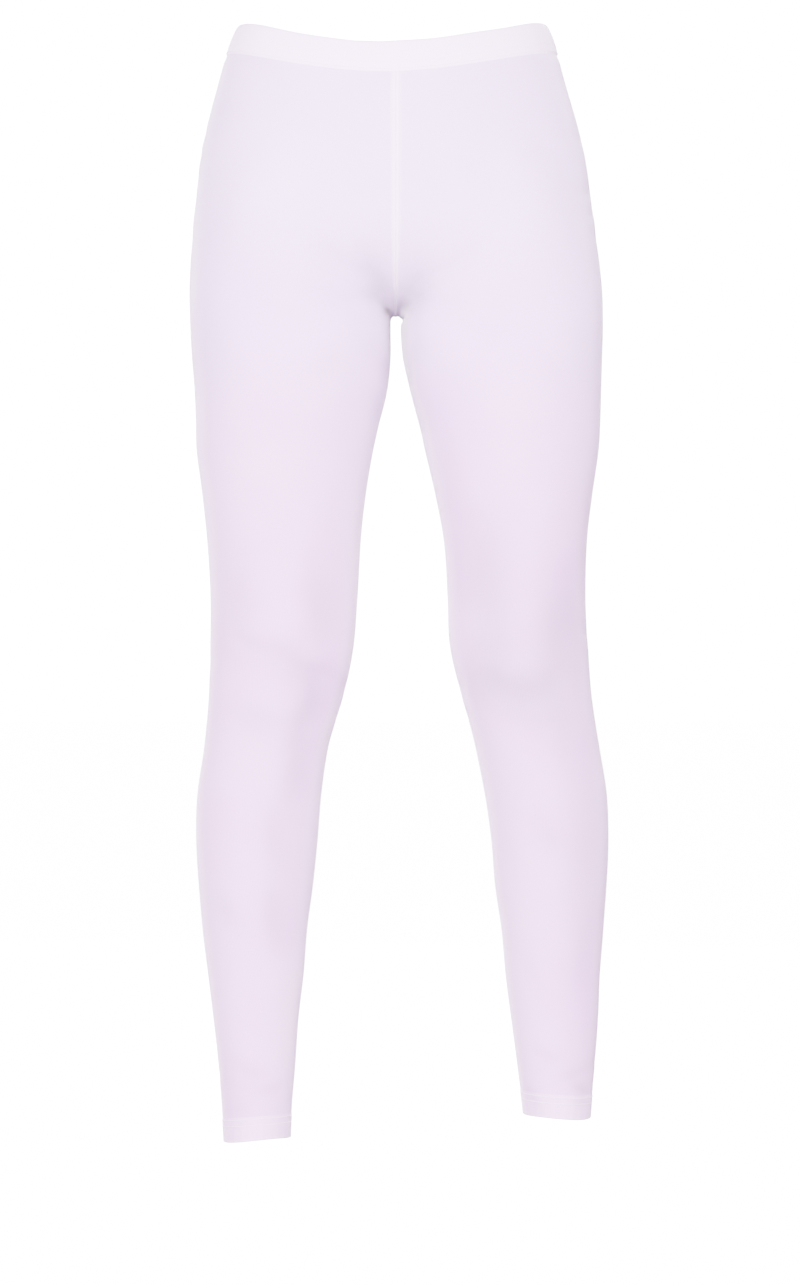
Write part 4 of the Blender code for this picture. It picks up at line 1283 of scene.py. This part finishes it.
def thread_material():
    """Spun polyester sewing thread, bleached white: a little brighter and glossier than jersey."""
    material, tree = new_material("spun_polyester_thread")
    place = add_node(tree, "ShaderNodeTexCoord").outputs["Object"]
    twist = {"Vector": place, "Scale": 900.0, "Distortion": 1.0}
    plies = add_node(tree, "ShaderNodeTexWave", {"bands_direction": "DIAGONAL"}, twist).outputs["Fac"]
    mix = {0: plies, 6: linear("#EFE9F2"), 7: linear("#FAF7FB")}
    colour = add_node(tree, "ShaderNodeMix", {"data_type": "RGBA"}, mix).outputs[2]
    shader = {"Base Color": colour, "Roughness": 0.55, "Specular IOR Level": 0.4, "Sheen Weight": 0.1}
    surface = add_node(tree, "ShaderNodeBsdfPrincipled", inputs=shader)
    add_node(tree, "ShaderNodeOutputMaterial", inputs={"Surface": surface})
    return material


def dress(piece, material):
    piece.data.materials.append(material)
    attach(piece, "root")


# ---- the studio ----
CAMERA_DISTANCE = 4.2
SENSOR_HEIGHT = 24.0
FRAME_HEIGHT = 1.0409
AIM = (0.00324, 0.0, -0.4937)
FLOOR_HEIGHT = -1.012
FLOOR_RADIUS = 30
FLOOR_CORNERS = 96
SOFT_LIGHT = (1.0, 0.66, 1.08)
BACKDROP_LEVEL = 20.0
FLOOR_GLOW = 15.0
AMBIENT_LEVEL = 1.38

# Softboxes: where each stands, its width and height, and its power in watts.
SOFTBOXES = {
    "key_light": ((-0.55, -4.1, 0.9), (1.2, 1.5), 985),
    "fill_light": ((1.9, -3.4, -0.4), (1.4, 1.8), 320),
    "wide_light_right": ((-3.4, -1.6, 0.0), (1.4, 1.8), 110),
    "low_light_right": ((-1.0, -0.9, -0.93), (0.7, 0.5), 6),
    "low_light_wide": ((0.0, -0.9, -0.9), (3.2, 0.3), 11),
    "side_light_right": ((-3.2, 1.9, 0.6), (1.4, 2.0), 80),
    "side_light_left": ((3.3, 1.6, 0.3), (1.4, 2.0), 45),
    "back_light": ((0.9, 3.9, 0.9), (1.2, 1.6), 560),
}


def add_camera():
    data = bpy.data.cameras.new("camera")
    data.sensor_fit = "VERTICAL"
    data.sensor_height = SENSOR_HEIGHT
    data.lens = SENSOR_HEIGHT * CAMERA_DISTANCE / FRAME_HEIGHT
    data.dof.use_dof = False
    camera = add_object("camera", data)
    camera.location = (AIM[0], -CAMERA_DISTANCE, AIM[2])
    camera.rotation_euler = (math.radians(90), 0.0, 0.0)
    bpy.context.scene.camera = camera


def add_softbox(name, place, size, power):
    data = bpy.data.lights.new(name, "AREA")
    data.shape = "RECTANGLE"
    data.size, data.size_y = size
    data.energy = power
    data.color = SOFT_LIGHT
    lamp = add_object(name, data)
    lamp.location = place
    lamp.visible_camera = False
    x, y, z = np.array(AIM) - np.array(place)
    lamp.rotation_euler = (math.pi / 2 + math.atan2(z, math.hypot(x, y)), 0.0, math.atan2(y, x) - math.pi / 2)


def add_studio():
    """A white sweep: bright where it is seen, with soft light from all round and in front."""
    world = bpy.data.worlds.new("studio")
    bpy.context.scene.world = world
    world.use_nodes = True
    tree = world.node_tree
    tree.nodes.clear()
    backdrop = {"Color": (1, 1, 1, 1), "Strength": BACKDROP_LEVEL}
    seen = add_node(tree, "ShaderNodeBackground", inputs=backdrop)
    soft = {"Color": (*SOFT_LIGHT, 1), "Strength": AMBIENT_LEVEL}
    ambient = add_node(tree, "ShaderNodeBackground", inputs=soft)
    direct = add_node(tree, "ShaderNodeLightPath").outputs["Is Camera Ray"]
    both = add_node(tree, "ShaderNodeMixShader", inputs={0: direct, 1: ambient, 2: seen})
    add_node(tree, "ShaderNodeOutputWorld", inputs={"Surface": both})
    for name, (place, size, power) in SOFTBOXES.items():
        add_softbox(name, place, size, power)
    # White vinyl, matt, that glows so that it reads as paper white.
    material, tree = new_material("white_vinyl_sweep")
    vinyl = {
        "Base Color": linear("#F4F3F5"),
        "Roughness": 0.9,
        "Specular IOR Level": 0.1,
        "Emission Color": (1, 1, 1, 1),
        "Emission Strength": FLOOR_GLOW,
    }
    surface = add_node(tree, "ShaderNodeBsdfPrincipled", inputs=vinyl)
    add_node(tree, "ShaderNodeOutputMaterial", inputs={"Surface": surface})
    turn = np.linspace(0, math.tau, FLOOR_CORNERS, endpoint=False)
    rim = [FLOOR_RADIUS * np.cos(turn), FLOOR_RADIUS * np.sin(turn), 0 * turn + FLOOR_HEIGHT]
    floor = add_mesh("floor", np.stack(rim, axis=-1), [range(FLOOR_CORNERS)])
    floor.data.materials.append(material)
    floor.visible_diffuse = False
    floor.visible_glossy = False


# ---- putting it together ----
BAND_THREAD_RISE = 0.00012
HEM_THREAD_RISE = -0.00002


def main():
    add_camera()
    add_studio()
    jersey, band_jersey, hem_jersey = (jersey_material(name) for name in JERSEYS)
    thread = thread_material()

    legs = {}
    for name, side in (("leg_right", RIGHT), ("leg_left", LEFT)):
        surface = leg_surface(side)
        legs[side] = add_leg(name + "_jersey", side, surface)
        dress(legs[side], jersey)
        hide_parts(name)
        strips = seam_strips(side, surface)
        allowances = add_strips(name + "_seam_allowances", strips)
        dress(allowances, jersey)
        overlock = add_overlock(name + "_overlock", strips)
        dress(overlock, thread)

    band, rings, across = add_waistband()
    dress(band, band_jersey)
    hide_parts("waistband")
    rise = BAND_PROUD + BAND_THREAD_RISE
    lines = [(ring_at(rings, row / BAND_HEIGHT), across, rise) for row in BAND_STITCH_ROWS]
    band_threads = add_threads("waistband_cover_stitch", lines)
    dress(band_threads, thread)

    hem_threads = {}
    hems = {}
    for name, side in (("hem_right", RIGHT), ("hem_left", LEFT)):
        hems[side], rings, across = add_hem(name + "_jersey", side)
        dress(hems[side], hem_jersey)
        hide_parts(name)
        lines = []
        for row in HEM_STITCH_ROWS:
            points = ring_at(rings, 1 - row / HEM_HEIGHT)
            relief = relief_of(points, across)[0]
            lines.append((points + across * relief[:, None], across, HEM_PROUD + HEM_THREAD_RISE))
        hem_threads[side] = add_threads(name + "_cover_stitch", lines)
        dress(hem_threads[side], thread)


main()
